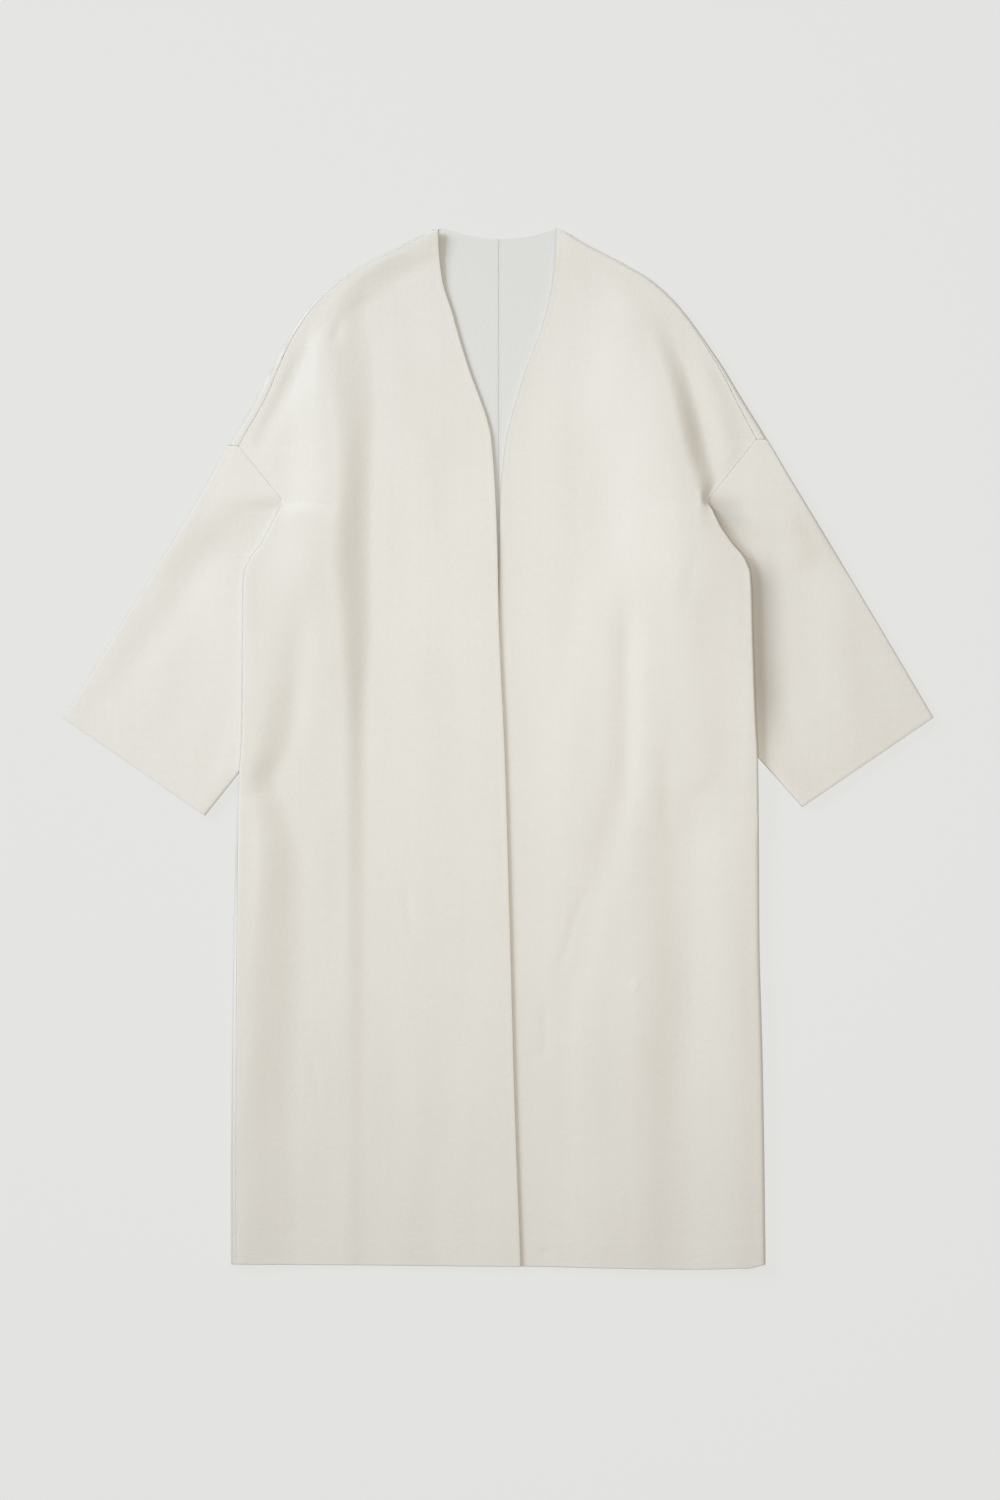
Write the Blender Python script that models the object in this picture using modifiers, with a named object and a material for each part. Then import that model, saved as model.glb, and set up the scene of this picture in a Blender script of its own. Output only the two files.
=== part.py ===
"""Long open-front cardigan of felted wool, lying flat on its back.

Frame: the floor is z = 0, +Y points to the neck and +X to the wearer's left. The middle
of the garment's outline is at x = 0, y = 0. Each panel is one open sheet, lofted through
level sections that run from the middle of the garment out to its side, and then given
the thickness of the cloth. Tables are in millimetres, everything else in metres.

Layers at the armhole, from the floor up: back, back folded under, sleeve (two layers),
front folded under, front. The sleeve's end is tucked in between the two folds.
"""
import bisect
import math
from collections import namedtuple

import bmesh
import bpy

# ---------------------------------------------------------------- driving dimensions
MM = 0.001
CLOTH = 0.0018          # thickness of the felted wool
SEAM = 0.0003           # gap between two pieces that are sewn together
REST = 0.0006           # slack between two layers that lie on each other
PITCH = CLOTH + REST    # middle of one layer to the middle of the next
FLOOR = CLOTH / 2       # middle of the layer that lies on the floor

OUTLINE_MIDDLE_X = 0.0005   # middle of the outline, as the tables have it; it goes to
OUTLINE_MIDDLE_Y = -0.0018  # x = 0, y = 0
CENTRE_BACK = 0.0016    # x of the centre back seam
FRONT_SWELL = 0.0058    # how high the middle of a front lies, between its edges
EDGE_RISE = 0.060       # width over which a front rises from its free edge
LAP_MARGIN = 0.008      # how far the under front stays low beyond the edge on top of it
SIDE_RISE = 0.070       # width over which a front rises to its side fold
SEAM_INSET = 0.0060     # shoulder seam, in from the outline
SHOULDER_SEAM = 0.0009  # gap there, measured between the middles of the two sheets
END_TILT = 0.40         # how far a sheet's end leans where two meet end to end
ROLL_REACH = 0.0085     # horizontal radius of the roll along the shoulder
TAIL = 0.0120           # last stretch of a row that ends without a fold
TAIL_TIP = 0.0040       # the end of that stretch, where its stations lie closest

ARM_TOP_Y = 0.3300      # level where the shoulder seam ends at the armhole
ARM_TOP_INSET = 0.0065  # how far in from the outline the armhole seam starts there
ARM_FOLD_Y = 0.2600     # level where the armhole seam goes in under the side fold
NECK_END_Y = 0.5395     # level where the shoulder seam ends at the neck

NECK_ZONE_Y = 0.5000    # level above which the back is shaped for the neckline
NECK_ZONE = 0.0450
NECK_HALF_WIDTH = 0.0560
NECKLINE_DIP = 0.0106   # how far the middle of the back neckline lies below its ends
HEM_ZONE_Y = -0.4950    # level below which the hem's own shape shows
HEM_ZONE = 0.0500

SLEEVE_TUCKED = 0.0030  # middle to middle of the sleeve's two layers, inside the tuck
SLEEVE_OPEN = 0.0072    # the same at the cuff
SLEEVE_OPENING = 0.110  # width beyond the body's edge over which a sleeve opens out
SLEEVE_SETTLE = 0.042   # width beyond the body's edge over which it comes down to the floor
EDGE_HOLD = 0.009       # width beyond the body's edge in which it doesn't yet come down
SLEEVE_ROLL = 0.65      # reach of a sleeve's rolled edge as a share of its height
RISE_AHEAD = 0.014      # how far above the back's fold a sleeve starts to rise over it
TUCK_END_Y = -0.0280    # level of the lowest place where a sleeve lies in the tuck
CLOSED_FROM = 0.25      # share of a sleeve's underarm from which the tuck starts to close
CLOSED_OVER = 0.30      # share over which it closes
CLOSE_MARGIN = 0.028    # room kept beside the sleeve's underarm fold
FOLD_FADE_OUT = 0.15    # share of a soft fold's length by which it runs on past its points
FOLD_FADE = 0.35        # share of its length over which each of its ends fades
OUTLINE_STEP = 0.004    # step along the body used to measure the outline's slope

FRONT_COLUMNS = 8       # cells across a front before its side fold
BACK_COLUMNS = 3
FOLD_CELLS = 5          # cells round a side fold
TUCK_CELLS = 3          # cells along the cloth folded under
SLEEVE_CELLS = 8        # cells across one layer of a sleeve
SLEEVE_END_CELLS = 5    # cells round each rolled edge of a sleeve
SLEEVE_SHARES = (0.0, 0.10, 0.22, 0.36, 0.50, 0.64, 0.76, 0.88, 1.0)
ARC_STEPS = 18          # steps of a fold's path before its stations are taken
LEVEL_STEPS = 60        # steps of a front's path before its stations are taken

WOOL_COLOUR = (0.80, 0.78, 0.72, 1.0)
WOOL_ROUGHNESS = 0.92

# ---------------------------------------------------------------- tables, millimetres
# The side of the body below the armhole seam.
# left, right: folded edge from the middle   rise: height of each fold, half of the roll
# reach: horizontal radius of the fold        turn: degrees that each fold turns through
# tuck: cloth that runs back in under it      room: space for the sleeve between the folds
Side = namedtuple("Side", "y left right rise reach turn tuck room")
SIDES = (
    Side(-545, 282.0, 280.5, 3.6, 9.0, 90, 0.0, 0.0),
    Side(-450, 281.0, 280.6, 4.2, 11.0, 90, 0.0, 0.0),
    Side(-330, 279.0, 279.4, 4.8, 12.0, 90, 0.0, 0.0),
    Side(-200, 275.6, 277.6, 5.0, 12.0, 90, 0.0, 0.0),
    Side(-105, 275.0, 275.2, 5.0, 10.0, 90, 0.0, 0.0),
    Side(-86, 274.8, 274.2, 4.7, 7.0, 115, 0.0, 0.0),
    Side(-66, 274.5, 273.4, 4.4, 5.0, 150, 0.0, 0.0),
    Side(-48, 274.3, 272.6, 4.0, 3.6, 180, 8.0, 0.0),
    Side(-28, 273.9, 271.8, 4.0, 3.5, 180, 30.0, 5.9),
    Side(0, 273.2, 269.6, 4.0, 3.5, 180, 52.0, 5.9),
    Side(26, 271.5, 268.6, 4.0, 3.5, 180, 74.0, 5.9),
    Side(78, 269.5, 268.2, 4.0, 3.5, 180, 104.0, 5.9),
    Side(128, 268.0, 268.0, 4.0, 3.5, 180, 118.0, 5.9),
    Side(160, 267.2, 267.6, 4.0, 3.5, 180, 98.0, 5.9),
    Side(181, 266.0, 266.6, 4.0, 3.5, 180, 85.0, 5.9),
    Side(197, 260.6, 261.0, 4.0, 3.5, 180, 71.0, 5.9),
    Side(213, 251.5, 251.0, 4.0, 3.5, 180, 50.0, 5.9),
    Side(228, 242.4, 242.0, 4.0, 3.5, 180, 25.0, 5.9),
    Side(238, 236.2, 236.4, 4.0, 3.5, 180, 6.0, 6.0),
    Side(246, 230.8, 232.4, 2.6, 3.2, 120, 0.0, 7.2),
    Side(253, 226.4, 230.0, 1.0, 3.0, 60, 0.0, 8.2),
    Side(260, 221.7, 228.2, 0.0, 3.0, 0, 0.0, 8.8),
)
# The outline from the armhole seam up to the neck, and the roll along the shoulder.
Shoulder = namedtuple("Shoulder", "y left right rise")
SHOULDERS = (
    Shoulder(322, 284.4, 280.4, 4.0),
    Shoulder(330, 279.8, 276.0, 4.0),
    Shoulder(366, 257.5, 254.8, 4.0),
    Shoulder(401, 236.4, 236.6, 4.0),
    Shoulder(435, 212.8, 217.2, 4.1),
    Shoulder(464, 190.4, 196.0, 4.3),
    Shoulder(490, 162.6, 168.6, 4.7),
    Shoulder(508, 132.6, 139.4, 5.2),
    Shoulder(522, 105.4, 110.6, 5.8),
    Shoulder(532, 86.8, 91.6, 6.2),
    Shoulder(539, 75.6, 76.4, 6.4),
    Shoulder(544, 65.6, 66.2, 6.4),
    Shoulder(548, 56.6, 57.6, 6.4),
)
# The free edge of each front, signed x, and its height above the layer it lies on.
Edge = namedtuple("Edge", "y left right lift")
EDGES = (
    Edge(-545, -15.0, 24.7, 0.0),
    Edge(-372, -12.0, 18.4, 0.0),
    Edge(-182, -8.0, 13.2, 0.0),
    Edge(-3, -4.0, 7.9, 0.0),
    Edge(139, 0.8, 1.6, 0.0),
    Edge(197, 1.6, 0.5, 0.1),
    Edge(260, 2.6, -1.6, 0.3),
    Edge(323, 7.9, -6.6, 0.6),
    Edge(366, 18.6, -14.2, 1.0),
    Edge(429, 37.6, -39.5, 2.0),
    Edge(486, 53.6, -59.5, 4.5),
    Edge(520, 57.6, -62.2, 8.0),
    Edge(548, 58.8, -62.6, 10.0),
)
# Level of the hem at a signed x, and of the back neckline at a distance from the middle.
Point = namedtuple("Point", "y value")
HEM_DROP = (Point(-282, 1.0), Point(-240, 0.4), Point(0, -1.5), Point(205, -4.6),
            Point(262, -3.4), Point(283, 0.6))
# Large soft folds in the fronts, as raised (+) or sunk (-) strips between two points.
Fold = namedtuple("Fold", "x0 y0 x1 y1 width height")
FOLDS = (
    Fold(-157, 440, -148, 60, 26, -2.6),
    Fold(-118, 230, -120, 10, 22, 2.2),
    Fold(-86, 360, -88, 40, 20, 1.4),
    Fold(-219, 140, -259, -70, 20, -2.4),
    Fold(-232, -110, -230, -480, 26, -1.8),
    Fold(-152, -40, -160, -420, 26, -1.6),
    Fold(82, 440, 84, 110, 22, -1.4),
    Fold(128, 110, 118, -60, 20, -2.2),
    Fold(118, -60, 60, -300, 22, -2.2),
    Fold(174, 10, 172, -500, 26, -2.0),
)
# Plan of a sleeve: the ends of its two long edges, and how far its head bows inwards.
# head_bow: of the head, into the body    top_bow: of the long upper edge, outwards
Arm = namedtuple("Arm", "head_x head_y under_x under_y cuff_top_x cuff_top_y "
                 "cuff_under_x cuff_under_y head_bow top_bow")
ARMS = {
    "left": Arm(272.4, 333.0, 147.0, 131.0, 458.8, 31.0, 320.4, -63.4, 7.0, 3.2),
    "right": Arm(268.4, 333.0, 147.0, 131.0, 457.4, 31.0, 307.4, -72.6, 4.0, 0.6),
}
# Levels at which the sections of each panel are taken.
BODY_LEVELS = (-545, -495, -410, -300, -200, -105, -66, -48, -28, 0, 28, 56, 84, 128,
               160, 181, 197, 213, 228, 238, 246, 253, 260)
ARM_LEVELS = (290, 318)
SHOULDER_LEVELS = (330, 360, 400, 438, 472, 502, 522, 532)
# Close together at the ends of the shoulder seam, where a back goes round the roll:
# the level, and the degrees round the roll to which the back reaches there.
Wrap = namedtuple("Wrap", "y turn")
ARM_WRAPS = (Wrap(327.6, 8), Wrap(328.8, 85))
NECK_WRAPS = (Wrap(543.0, 90), Wrap(545.6, 30))


# ---------------------------------------------------------------- helpers
def along(table, column, y):
    """A column of a table at height y, on a smooth curve that never overshoots its rows."""
    ys = [row.y * MM for row in table]
    values = [getattr(row, column) for row in table]
    if y <= ys[0]:
        return values[0]
    if y >= ys[-1]:
        return values[-1]
    slopes = [(values[i + 1] - values[i]) / (ys[i + 1] - ys[i]) for i in range(len(ys) - 1)]
    tangents = [slopes[0]]
    for before, after in zip(slopes, slopes[1:]):
        same_way = before * after > 0
        tangents.append(2 * before * after / (before + after) if same_way else 0.0)
    tangents.append(slopes[-1])
    i = bisect.bisect_right(ys, y) - 1
    step = ys[i + 1] - ys[i]
    t = (y - ys[i]) / step
    return ((2 * t ** 3 - 3 * t ** 2 + 1) * values[i]
            + (t ** 3 - 2 * t ** 2 + t) * step * tangents[i]
            + (3 * t ** 2 - 2 * t ** 3) * values[i + 1]
            + (t ** 3 - t ** 2) * step * tangents[i + 1])


def ease(t):
    """0 before t = 0, 1 after t = 1, with a smooth step between."""
    t = min(max(t, 0.0), 1.0)
    return t * t * (3 - 2 * t)


def mix(a, b, t):
    return a + (b - a) * t


def running_lengths(path):
    lengths = [0.0]
    for (x0, z0), (x1, z1) in zip(path, path[1:]):
        lengths.append(lengths[-1] + math.hypot(x1 - x0, z1 - z0))
    return lengths


def path_length(path):
    return running_lengths(path)[-1]


def resample(path, first, last, cells):
    """Points at equal steps along a path, from one length along it to another."""
    lengths = running_lengths(path)
    points = []
    for k in range(cells + 1):
        s = min(max(mix(first, last, k / cells), 0.0), lengths[-1])
        i = min(max(bisect.bisect_right(lengths, s) - 1, 0), len(path) - 2)
        t = (s - lengths[i]) / max(lengths[i + 1] - lengths[i], 1e-9)
        points.append((mix(path[i][0], path[i + 1][0], t), mix(path[i][1], path[i + 1][1], t)))
    return points


# ---------------------------------------------------------------- the garment's own curves
def armhole_x(side, y):
    """Distance of the armhole seam from the middle, where it can be seen."""
    low = along(SIDES, side, ARM_FOLD_Y) * MM
    high = along(SHOULDERS, side, ARM_TOP_Y) * MM - ARM_TOP_INSET
    return mix(low, high, (y - ARM_FOLD_Y) / (ARM_TOP_Y - ARM_FOLD_Y))


def outline_share(side, y):
    """Share of the shoulder outline's normal that points sideways."""
    above = along(SHOULDERS, side, y + OUTLINE_STEP) * MM
    below = along(SHOULDERS, side, y - OUTLINE_STEP) * MM
    return 1 / math.hypot(1, (above - below) / (2 * OUTLINE_STEP))


def flat_share(reach, rise, turn):
    """How level a fold lies after turning through an angle: 1 level, 0 upright."""
    across = reach * math.cos(turn)
    down = rise * math.sin(turn)
    return abs(across) / math.hypot(across, down)


def side_fold(side, y):
    """Shape of the side fold at a level: x of its centre, radii, turn, tuck and heights."""
    edge = along(SIDES, side, y) * MM
    rise = along(SIDES, "rise", y) * MM
    reach = along(SIDES, "reach", y) * MM
    turn = math.radians(along(SIDES, "turn", y))
    tuck = along(SIDES, "tuck", y) * MM
    room = along(SIDES, "room", y) * MM
    upright = rise / max(1 - math.cos(turn), 1e-6)
    between = SEAM + CLOTH * max(flat_share(reach, upright, turn), END_TILT) + room
    centre = edge - CLOTH / 2 - reach * math.sin(min(turn, math.pi / 2))
    return namedtuple("SideFold", "centre reach upright turn tuck low high top room")(
        centre, reach, upright, turn, tuck,
        FLOOR + rise, FLOOR + rise + between, FLOOR + 2 * rise + between, room)


def shoulder_roll(side, y):
    """Shape of the roll along the shoulder: x of its centre, radii and top."""
    edge = along(SHOULDERS, side, y) * MM
    rise = along(SHOULDERS, "rise", y) * MM
    reach = ROLL_REACH / outline_share(side, y)
    seam_turn = math.pi - math.asin(1 - (SEAM_INSET - CLOTH / 2) / ROLL_REACH)
    return namedtuple("Roll", "centre reach rise top seam_turn")(
        edge - CLOTH / 2 - reach, reach, rise, FLOOR + 2 * rise, seam_turn)


def front_end(side, y):
    """Where a front stops being level at its side: x, height, and where it starts to rise."""
    if y < ARM_FOLD_Y:
        fold = side_fold(side, y)
        return fold.centre, fold.top, fold.centre - fold.tuck
    if y < ARM_TOP_Y:
        end = armhole_x(side, y)
        share = (y - ARM_FOLD_Y) / (ARM_TOP_Y - ARM_FOLD_Y)
        low = side_fold(side, ARM_FOLD_Y).top
        return end, mix(low, shoulder_roll(side, ARM_TOP_Y).top, share), end - TAIL
    roll = shoulder_roll(side, y)
    return roll.centre, roll.top, roll.centre


def fold_height(x, y):
    """Sum of the large soft folds at a signed point of the fronts."""
    total = 0.0
    for fold in FOLDS:
        dx = (fold.x1 - fold.x0) * MM
        dy = (fold.y1 - fold.y0) * MM
        length = math.hypot(dx, dy)
        rx = x - fold.x0 * MM
        ry = y - fold.y0 * MM
        t = (rx * dx + ry * dy) / length ** 2
        across = abs(rx * dy - ry * dx) / length
        ends = (ease((t + FOLD_FADE_OUT) / FOLD_FADE)
                * ease((1 + FOLD_FADE_OUT - t) / FOLD_FADE))
        total += fold.height * MM * math.exp(-(across / (fold.width * MM)) ** 2) * ends
    return total


def front_height(side, sign, out, y):
    """Height of a front's middle surface at a distance from the middle, before its fold."""
    inner = sign * along(EDGES, side, y) * MM
    layer = 2 if side == "right" else 1
    edge_z = FLOOR + layer * PITCH + along(EDGES, "lift", y) * MM
    _, end_z, rise_from = front_end(side, y)
    swell = FLOOR + FRONT_SWELL
    lap = max(along(EDGES, "right", y) - along(EDGES, "left", y), 0.0) * MM
    held = lap + LAP_MARGIN if side == "left" else 0.0
    from_edge = ease((out - inner - held) / EDGE_RISE)
    to_side = ease(1 - (rise_from - out) / SIDE_RISE)
    height = swell + (edge_z - swell) * (1 - from_edge) * (1 - to_side)
    height += (end_z - swell) * to_side
    return height + fold_height(sign * out, y) * from_edge * (1 - to_side)


# ---------------------------------------------------------------- sections of the panels
def tail_row(path, cells):
    """Stations of a row that ends without a fold: its last stretch takes the fold's cells."""
    total = path_length(path)
    return (resample(path, 0, total - TAIL, cells)
            + resample(path, total - TAIL, total - TAIL_TIP, FOLD_CELLS)[1:]
            + resample(path, total - TAIL_TIP, total, TUCK_CELLS)[1:])


def fold_row(level, path, fold, cells):
    """Stations of a row with a fold: path is the fold's arc, its tuck follows."""
    arc = path_length(path)
    whole = path + tucked(fold, path[-1])
    total = path_length(whole)
    split = min(arc, total * FOLD_CELLS / (FOLD_CELLS + TUCK_CELLS))
    return (resample(level, 0, path_length(level), cells)
            + resample(whole, 0, split, FOLD_CELLS)[1:]
            + resample(whole, split, total, TUCK_CELLS)[1:])


def tucked(fold, start):
    """The cloth folded under: level from the fold inwards, or none where it turns less."""
    if fold.tuck == 0:
        return []
    return [(start[0] - fold.tuck * k / TUCK_CELLS, start[1]) for k in range(1, TUCK_CELLS + 1)]


def arc_points(centre, reach, upright, level, turn, up):
    """Points round an elliptical fold from its level end, up (+1) or down (-1)."""
    return [(centre + reach * math.sin(turn * k / ARC_STEPS),
             level + up * upright * (1 - math.cos(turn * k / ARC_STEPS)))
            for k in range(ARC_STEPS + 1)]


def front_level(side, sign, y):
    """The part of a front's section that lies over the body."""
    inner = sign * along(EDGES, side, y) * MM
    end, _, _ = front_end(side, y)
    outs = [mix(inner, end, k / LEVEL_STEPS) for k in range(LEVEL_STEPS + 1)]
    return [(out, front_height(side, sign, out, y)) for out in outs]


def front_row(side, sign, y):
    """Section of a front at one level, as (distance from the middle, height) stations."""
    level = front_level(side, sign, y)
    if y >= ARM_TOP_Y:
        roll = shoulder_roll(side, y)
        turn = math.pi - roll.seam_turn - SHOULDER_SEAM / 2 / ROLL_REACH
        arc = arc_points(roll.centre, roll.reach, roll.rise, roll.top, turn, -1)
        return tail_row(level + arc[1:], FRONT_COLUMNS)
    if y >= ARM_FOLD_Y:
        return tail_row(level, FRONT_COLUMNS)
    fold = side_fold(side, y)
    arc = arc_points(fold.centre, fold.reach, fold.upright, fold.top, fold.turn, -1)
    row = fold_row(level, arc, fold, FRONT_COLUMNS)
    return close_tuck(side, fold, row, y)


def close_tuck(side, fold, row, y):
    """Lowers the front's tucked cloth onto the back's, where no sleeve lies between them."""
    arm = ARMS[side]
    share = (arm.under_y * MM - y) / ((arm.under_y - arm.cuff_under_y) * MM)
    amount = fold.room * ease((share - CLOSED_FROM) / CLOSED_OVER)
    if fold.tuck == 0 or amount == 0:
        return row
    sleeve_x = mix(arm.under_x, arm.cuff_under_x, share) * MM - CLOSE_MARGIN
    end = row[-1][0]
    closed = []
    for x, z in row[-TUCK_CELLS:]:
        drop = amount * ease((sleeve_x - x) / max(sleeve_x - end, MM))
        closed.append((x, z - drop))
    return row[:-TUCK_CELLS] + closed


def back_row(side, sign, y, wrap=None):
    """Section of a back at one level; wrap is how far round the roll it reaches, if not all."""
    inner = sign * CENTRE_BACK + SEAM / 2
    if ARM_FOLD_Y <= y < ARM_TOP_Y and wrap is None:
        return tail_row([(inner, FLOOR), (armhole_x(side, y), FLOOR)], BACK_COLUMNS)
    if y >= ARM_FOLD_Y:
        roll = shoulder_roll(side, y)
        turn = roll.seam_turn - SHOULDER_SEAM / 2 / ROLL_REACH
        if wrap is not None:
            turn = math.radians(wrap)
        arc = arc_points(roll.centre, roll.reach, roll.rise, FLOOR, turn, 1)
        none = namedtuple("NoTuck", "tuck")(0.0)
        return fold_row([(inner, FLOOR), (roll.centre, FLOOR)], arc, none, BACK_COLUMNS)
    fold = side_fold(side, y)
    arc = arc_points(fold.centre, fold.reach, fold.upright, FLOOR, fold.turn, 1)
    return fold_row([(inner, FLOOR), (fold.centre, FLOOR)], arc, fold, BACK_COLUMNS)


# ---------------------------------------------------------------- hem and back neckline
def hem_shift(x, y):
    """How far a point moves along the body so that the hem has its real, uneven level."""
    near_hem = ease((HEM_ZONE_Y - y) / HEM_ZONE)
    if near_hem == 0:
        return 0.0
    spots = [point.y for point in HEM_DROP]
    drops = [point.value for point in HEM_DROP]
    at = min(max(x / MM, spots[0]), spots[-1])
    i = min(bisect.bisect_right(spots, at) - 1, len(spots) - 2)
    share = ease((at - spots[i]) / (spots[i + 1] - spots[i]))
    return mix(drops[i], drops[i + 1], share) * MM * near_hem


def neck_shift(x, y):
    """How far a point of the back moves down so that the back neckline is a shallow scoop."""
    near_neck = ease((y - NECK_ZONE_Y) / NECK_ZONE)
    across = min(abs(x - CENTRE_BACK) / NECK_HALF_WIDTH, 1.0)
    return -NECKLINE_DIP * near_neck * (1 - across ** 2)


# ---------------------------------------------------------------- sleeves
def body_edge(side, y):
    """Distance from the middle of the edge that a sleeve comes out from under."""
    if y < ARM_FOLD_Y:
        return along(SIDES, side, y) * MM
    return armhole_x(side, y)


def sleeve_layers(side, out, y):
    """Heights of the middle of a sleeve's lower and upper layer at a point of its plan."""
    level = min(max(y, TUCK_END_Y), ARM_TOP_Y)
    tucked_rise = along(SIDES, "rise", level - RISE_AHEAD) * MM
    beyond = out - body_edge(side, level)
    lift = (tucked_rise + PITCH + REST / 2) * (1 - ease((beyond - EDGE_HOLD) / SLEEVE_SETTLE))
    gap = mix(SLEEVE_TUCKED, SLEEVE_OPEN, ease((beyond - EDGE_HOLD) / SLEEVE_OPENING))
    return FLOOR + lift, FLOOR + lift + gap


def sleeve_loop(side, t):
    """Closed section of a sleeve at a share t of the way from its head to its cuff."""
    arm = ARMS[side]
    top = (mix(arm.head_x, arm.cuff_top_x, t) * MM, mix(arm.head_y, arm.cuff_top_y, t) * MM)
    under = (mix(arm.under_x, arm.cuff_under_x, t) * MM,
             mix(arm.under_y, arm.cuff_under_y, t) * MM)
    across = (under[0] - top[0], under[1] - top[1])
    width = math.hypot(*across)
    way = (across[0] / width, across[1] / width)
    bulge = arm.top_bow * MM * 4 * t * (1 - t)
    top = (top[0] - way[0] * bulge, top[1] - way[1] * bulge)
    width += bulge
    bow = arm.head_bow * MM * (1 - t) ** 2

    def plan(s):
        share = s / width
        off = bow * 4 * share * (1 - share)
        return top[0] + way[0] * s + way[1] * off, top[1] + way[1] * s - way[0] * off

    def rolled_edge(s, turn_from):
        x, y = plan(s)
        low, high = sleeve_layers(side, x, y)
        half = (high - low) / 2
        reach = SLEEVE_ROLL * (high - low)
        points = []
        for k in range(1, SLEEVE_END_CELLS):
            turn = turn_from + math.pi * k / SLEEVE_END_CELLS
            shift = reach * math.sin(turn)
            points.append((x + way[0] * shift, y + way[1] * shift,
                           (low + high) / 2 + half * math.cos(turn)))
        return points

    ends = []
    for corner in (top, under):
        low, high = sleeve_layers(side, *corner)
        ends.append(CLOTH / 2 + SLEEVE_ROLL * (high - low))
    runs = [mix(ends[0], width - ends[1], k / SLEEVE_CELLS) for k in range(SLEEVE_CELLS + 1)]
    upper = []
    lower = []
    for s in runs:
        x, y = plan(s)
        low, high = sleeve_layers(side, x, y)
        upper.append((x, y, high))
        lower.append((x, y, low))
    return (upper + rolled_edge(runs[-1], 0.0) + lower[::-1] + rolled_edge(runs[0], math.pi))


# ---------------------------------------------------------------- building
def sheet_object(name, grid, sign, round_tube, collection):
    """Makes a sheet from rows of points and gives it the thickness of the cloth."""
    mesh = bpy.data.meshes.new(name)
    bm = bmesh.new()
    rows = [[bm.verts.new((sign * x - OUTLINE_MIDDLE_X, y - OUTLINE_MIDDLE_Y, z))
             for x, y, z in row] for row in grid]
    for low, high in zip(rows, rows[1:]):
        count = len(low)
        for k in range(count if round_tube else count - 1):
            after = (k + 1) % count
            corners = (low[k], low[after], high[after], high[k])
            bm.faces.new(corners if sign > 0 else corners[::-1])
    bm.normal_update()
    bm.to_mesh(mesh)
    bm.free()
    mesh.shade_smooth()
    piece = bpy.data.objects.new(name, mesh)
    collection.objects.link(piece)
    wall = piece.modifiers.new("Cloth", "SOLIDIFY")
    wall.thickness = CLOTH
    wall.offset = 0.0
    wall.use_even_offset = True
    wall.use_quality_normals = True
    return piece


def wool(name):
    """Off-white felted wool, one material to each piece."""
    material = bpy.data.materials.new(name)
    material.use_nodes = True
    shader = material.node_tree.nodes["Principled BSDF"]
    shader.inputs["Base Color"].default_value = WOOL_COLOUR
    shader.inputs["Roughness"].default_value = WOOL_ROUGHNESS
    shader.inputs["Metallic"].default_value = 0.0
    return material


def panel_grid(rows, sign, shift_neck):
    """Places the level sections of a panel, with its uneven hem and its neckline."""
    grid = []
    for y, row in rows:
        placed = []
        for out, z in row:
            moved = y + hem_shift(sign * out, y)
            if shift_neck:
                moved += neck_shift(sign * out, y)
            placed.append((out, moved, z))
        grid.append(placed)
    return grid


def build_side(side, sign, collection):
    """Makes the front, the back and the sleeve of one side."""
    levels = [y * MM for y in BODY_LEVELS + ARM_LEVELS + SHOULDER_LEVELS] + [NECK_END_Y]
    fronts = [(y, front_row(side, sign, y)) for y in levels]
    backs = [(y, back_row(side, sign, y)) for y in levels]
    backs += [(w.y * MM, back_row(side, sign, w.y * MM, w.turn)) for w in ARM_WRAPS + NECK_WRAPS]
    backs.sort(key=lambda row: row[0])
    sleeve = [sleeve_loop(side, t) for t in SLEEVE_SHARES]
    pieces = [
        sheet_object("front_" + side, panel_grid(fronts, sign, False), sign, False, collection),
        sheet_object("back_" + side, panel_grid(backs, sign, True), sign, False, collection),
        sheet_object("sleeve_" + side, sleeve, sign, True, collection),
    ]
    for piece in pieces:
        piece.data.materials.append(wool(piece.name + "_wool"))


def main():
    for old in list(bpy.data.objects):
        bpy.data.objects.remove(old, do_unlink=True)
    collection = bpy.data.collections.new("long_cardigan")
    bpy.context.scene.collection.children.link(collection)
    build_side("left", 1, collection)
    build_side("right", -1, collection)


main()
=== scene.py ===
"""Cloth, seams, finish and stage of a long open-front cardigan of felted off-white wool.

The garment lies flat on its back. Frame: the floor is z = 0, +Y points to the neck and +X
to the wearer's left. Each panel is a thin closed shell on the form of its solid, lofted
through level sections. Tables are in millimetres, everything else in metres.
"""
import math
from collections import namedtuple
from functools import partial

import bpy
import numpy as np
from bpy.props import FloatProperty, FloatVectorProperty, PointerProperty
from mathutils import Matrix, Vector, noise


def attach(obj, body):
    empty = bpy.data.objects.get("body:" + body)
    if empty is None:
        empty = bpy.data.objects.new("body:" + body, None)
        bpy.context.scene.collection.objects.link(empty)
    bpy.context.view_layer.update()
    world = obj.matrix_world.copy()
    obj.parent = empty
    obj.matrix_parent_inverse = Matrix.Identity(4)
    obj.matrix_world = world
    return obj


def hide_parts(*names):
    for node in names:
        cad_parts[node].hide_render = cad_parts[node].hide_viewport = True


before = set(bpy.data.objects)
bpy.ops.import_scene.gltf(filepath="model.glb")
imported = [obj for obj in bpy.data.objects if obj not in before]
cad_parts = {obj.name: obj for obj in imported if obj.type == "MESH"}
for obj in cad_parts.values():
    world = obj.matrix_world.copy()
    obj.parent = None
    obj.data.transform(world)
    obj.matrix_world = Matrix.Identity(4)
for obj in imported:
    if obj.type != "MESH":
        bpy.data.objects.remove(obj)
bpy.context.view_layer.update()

bl_info = {
    "name": "Laid-out Wool Cardigan",
    "version": (1, 0, 0),
    "blender": (4, 5, 0),
    "location": "View3D > Sidebar > Cardigan",
    "description": "Builds the cloth, the finish and the stage of a long wool cardigan laid flat",
    "category": "Object",
}

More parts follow.
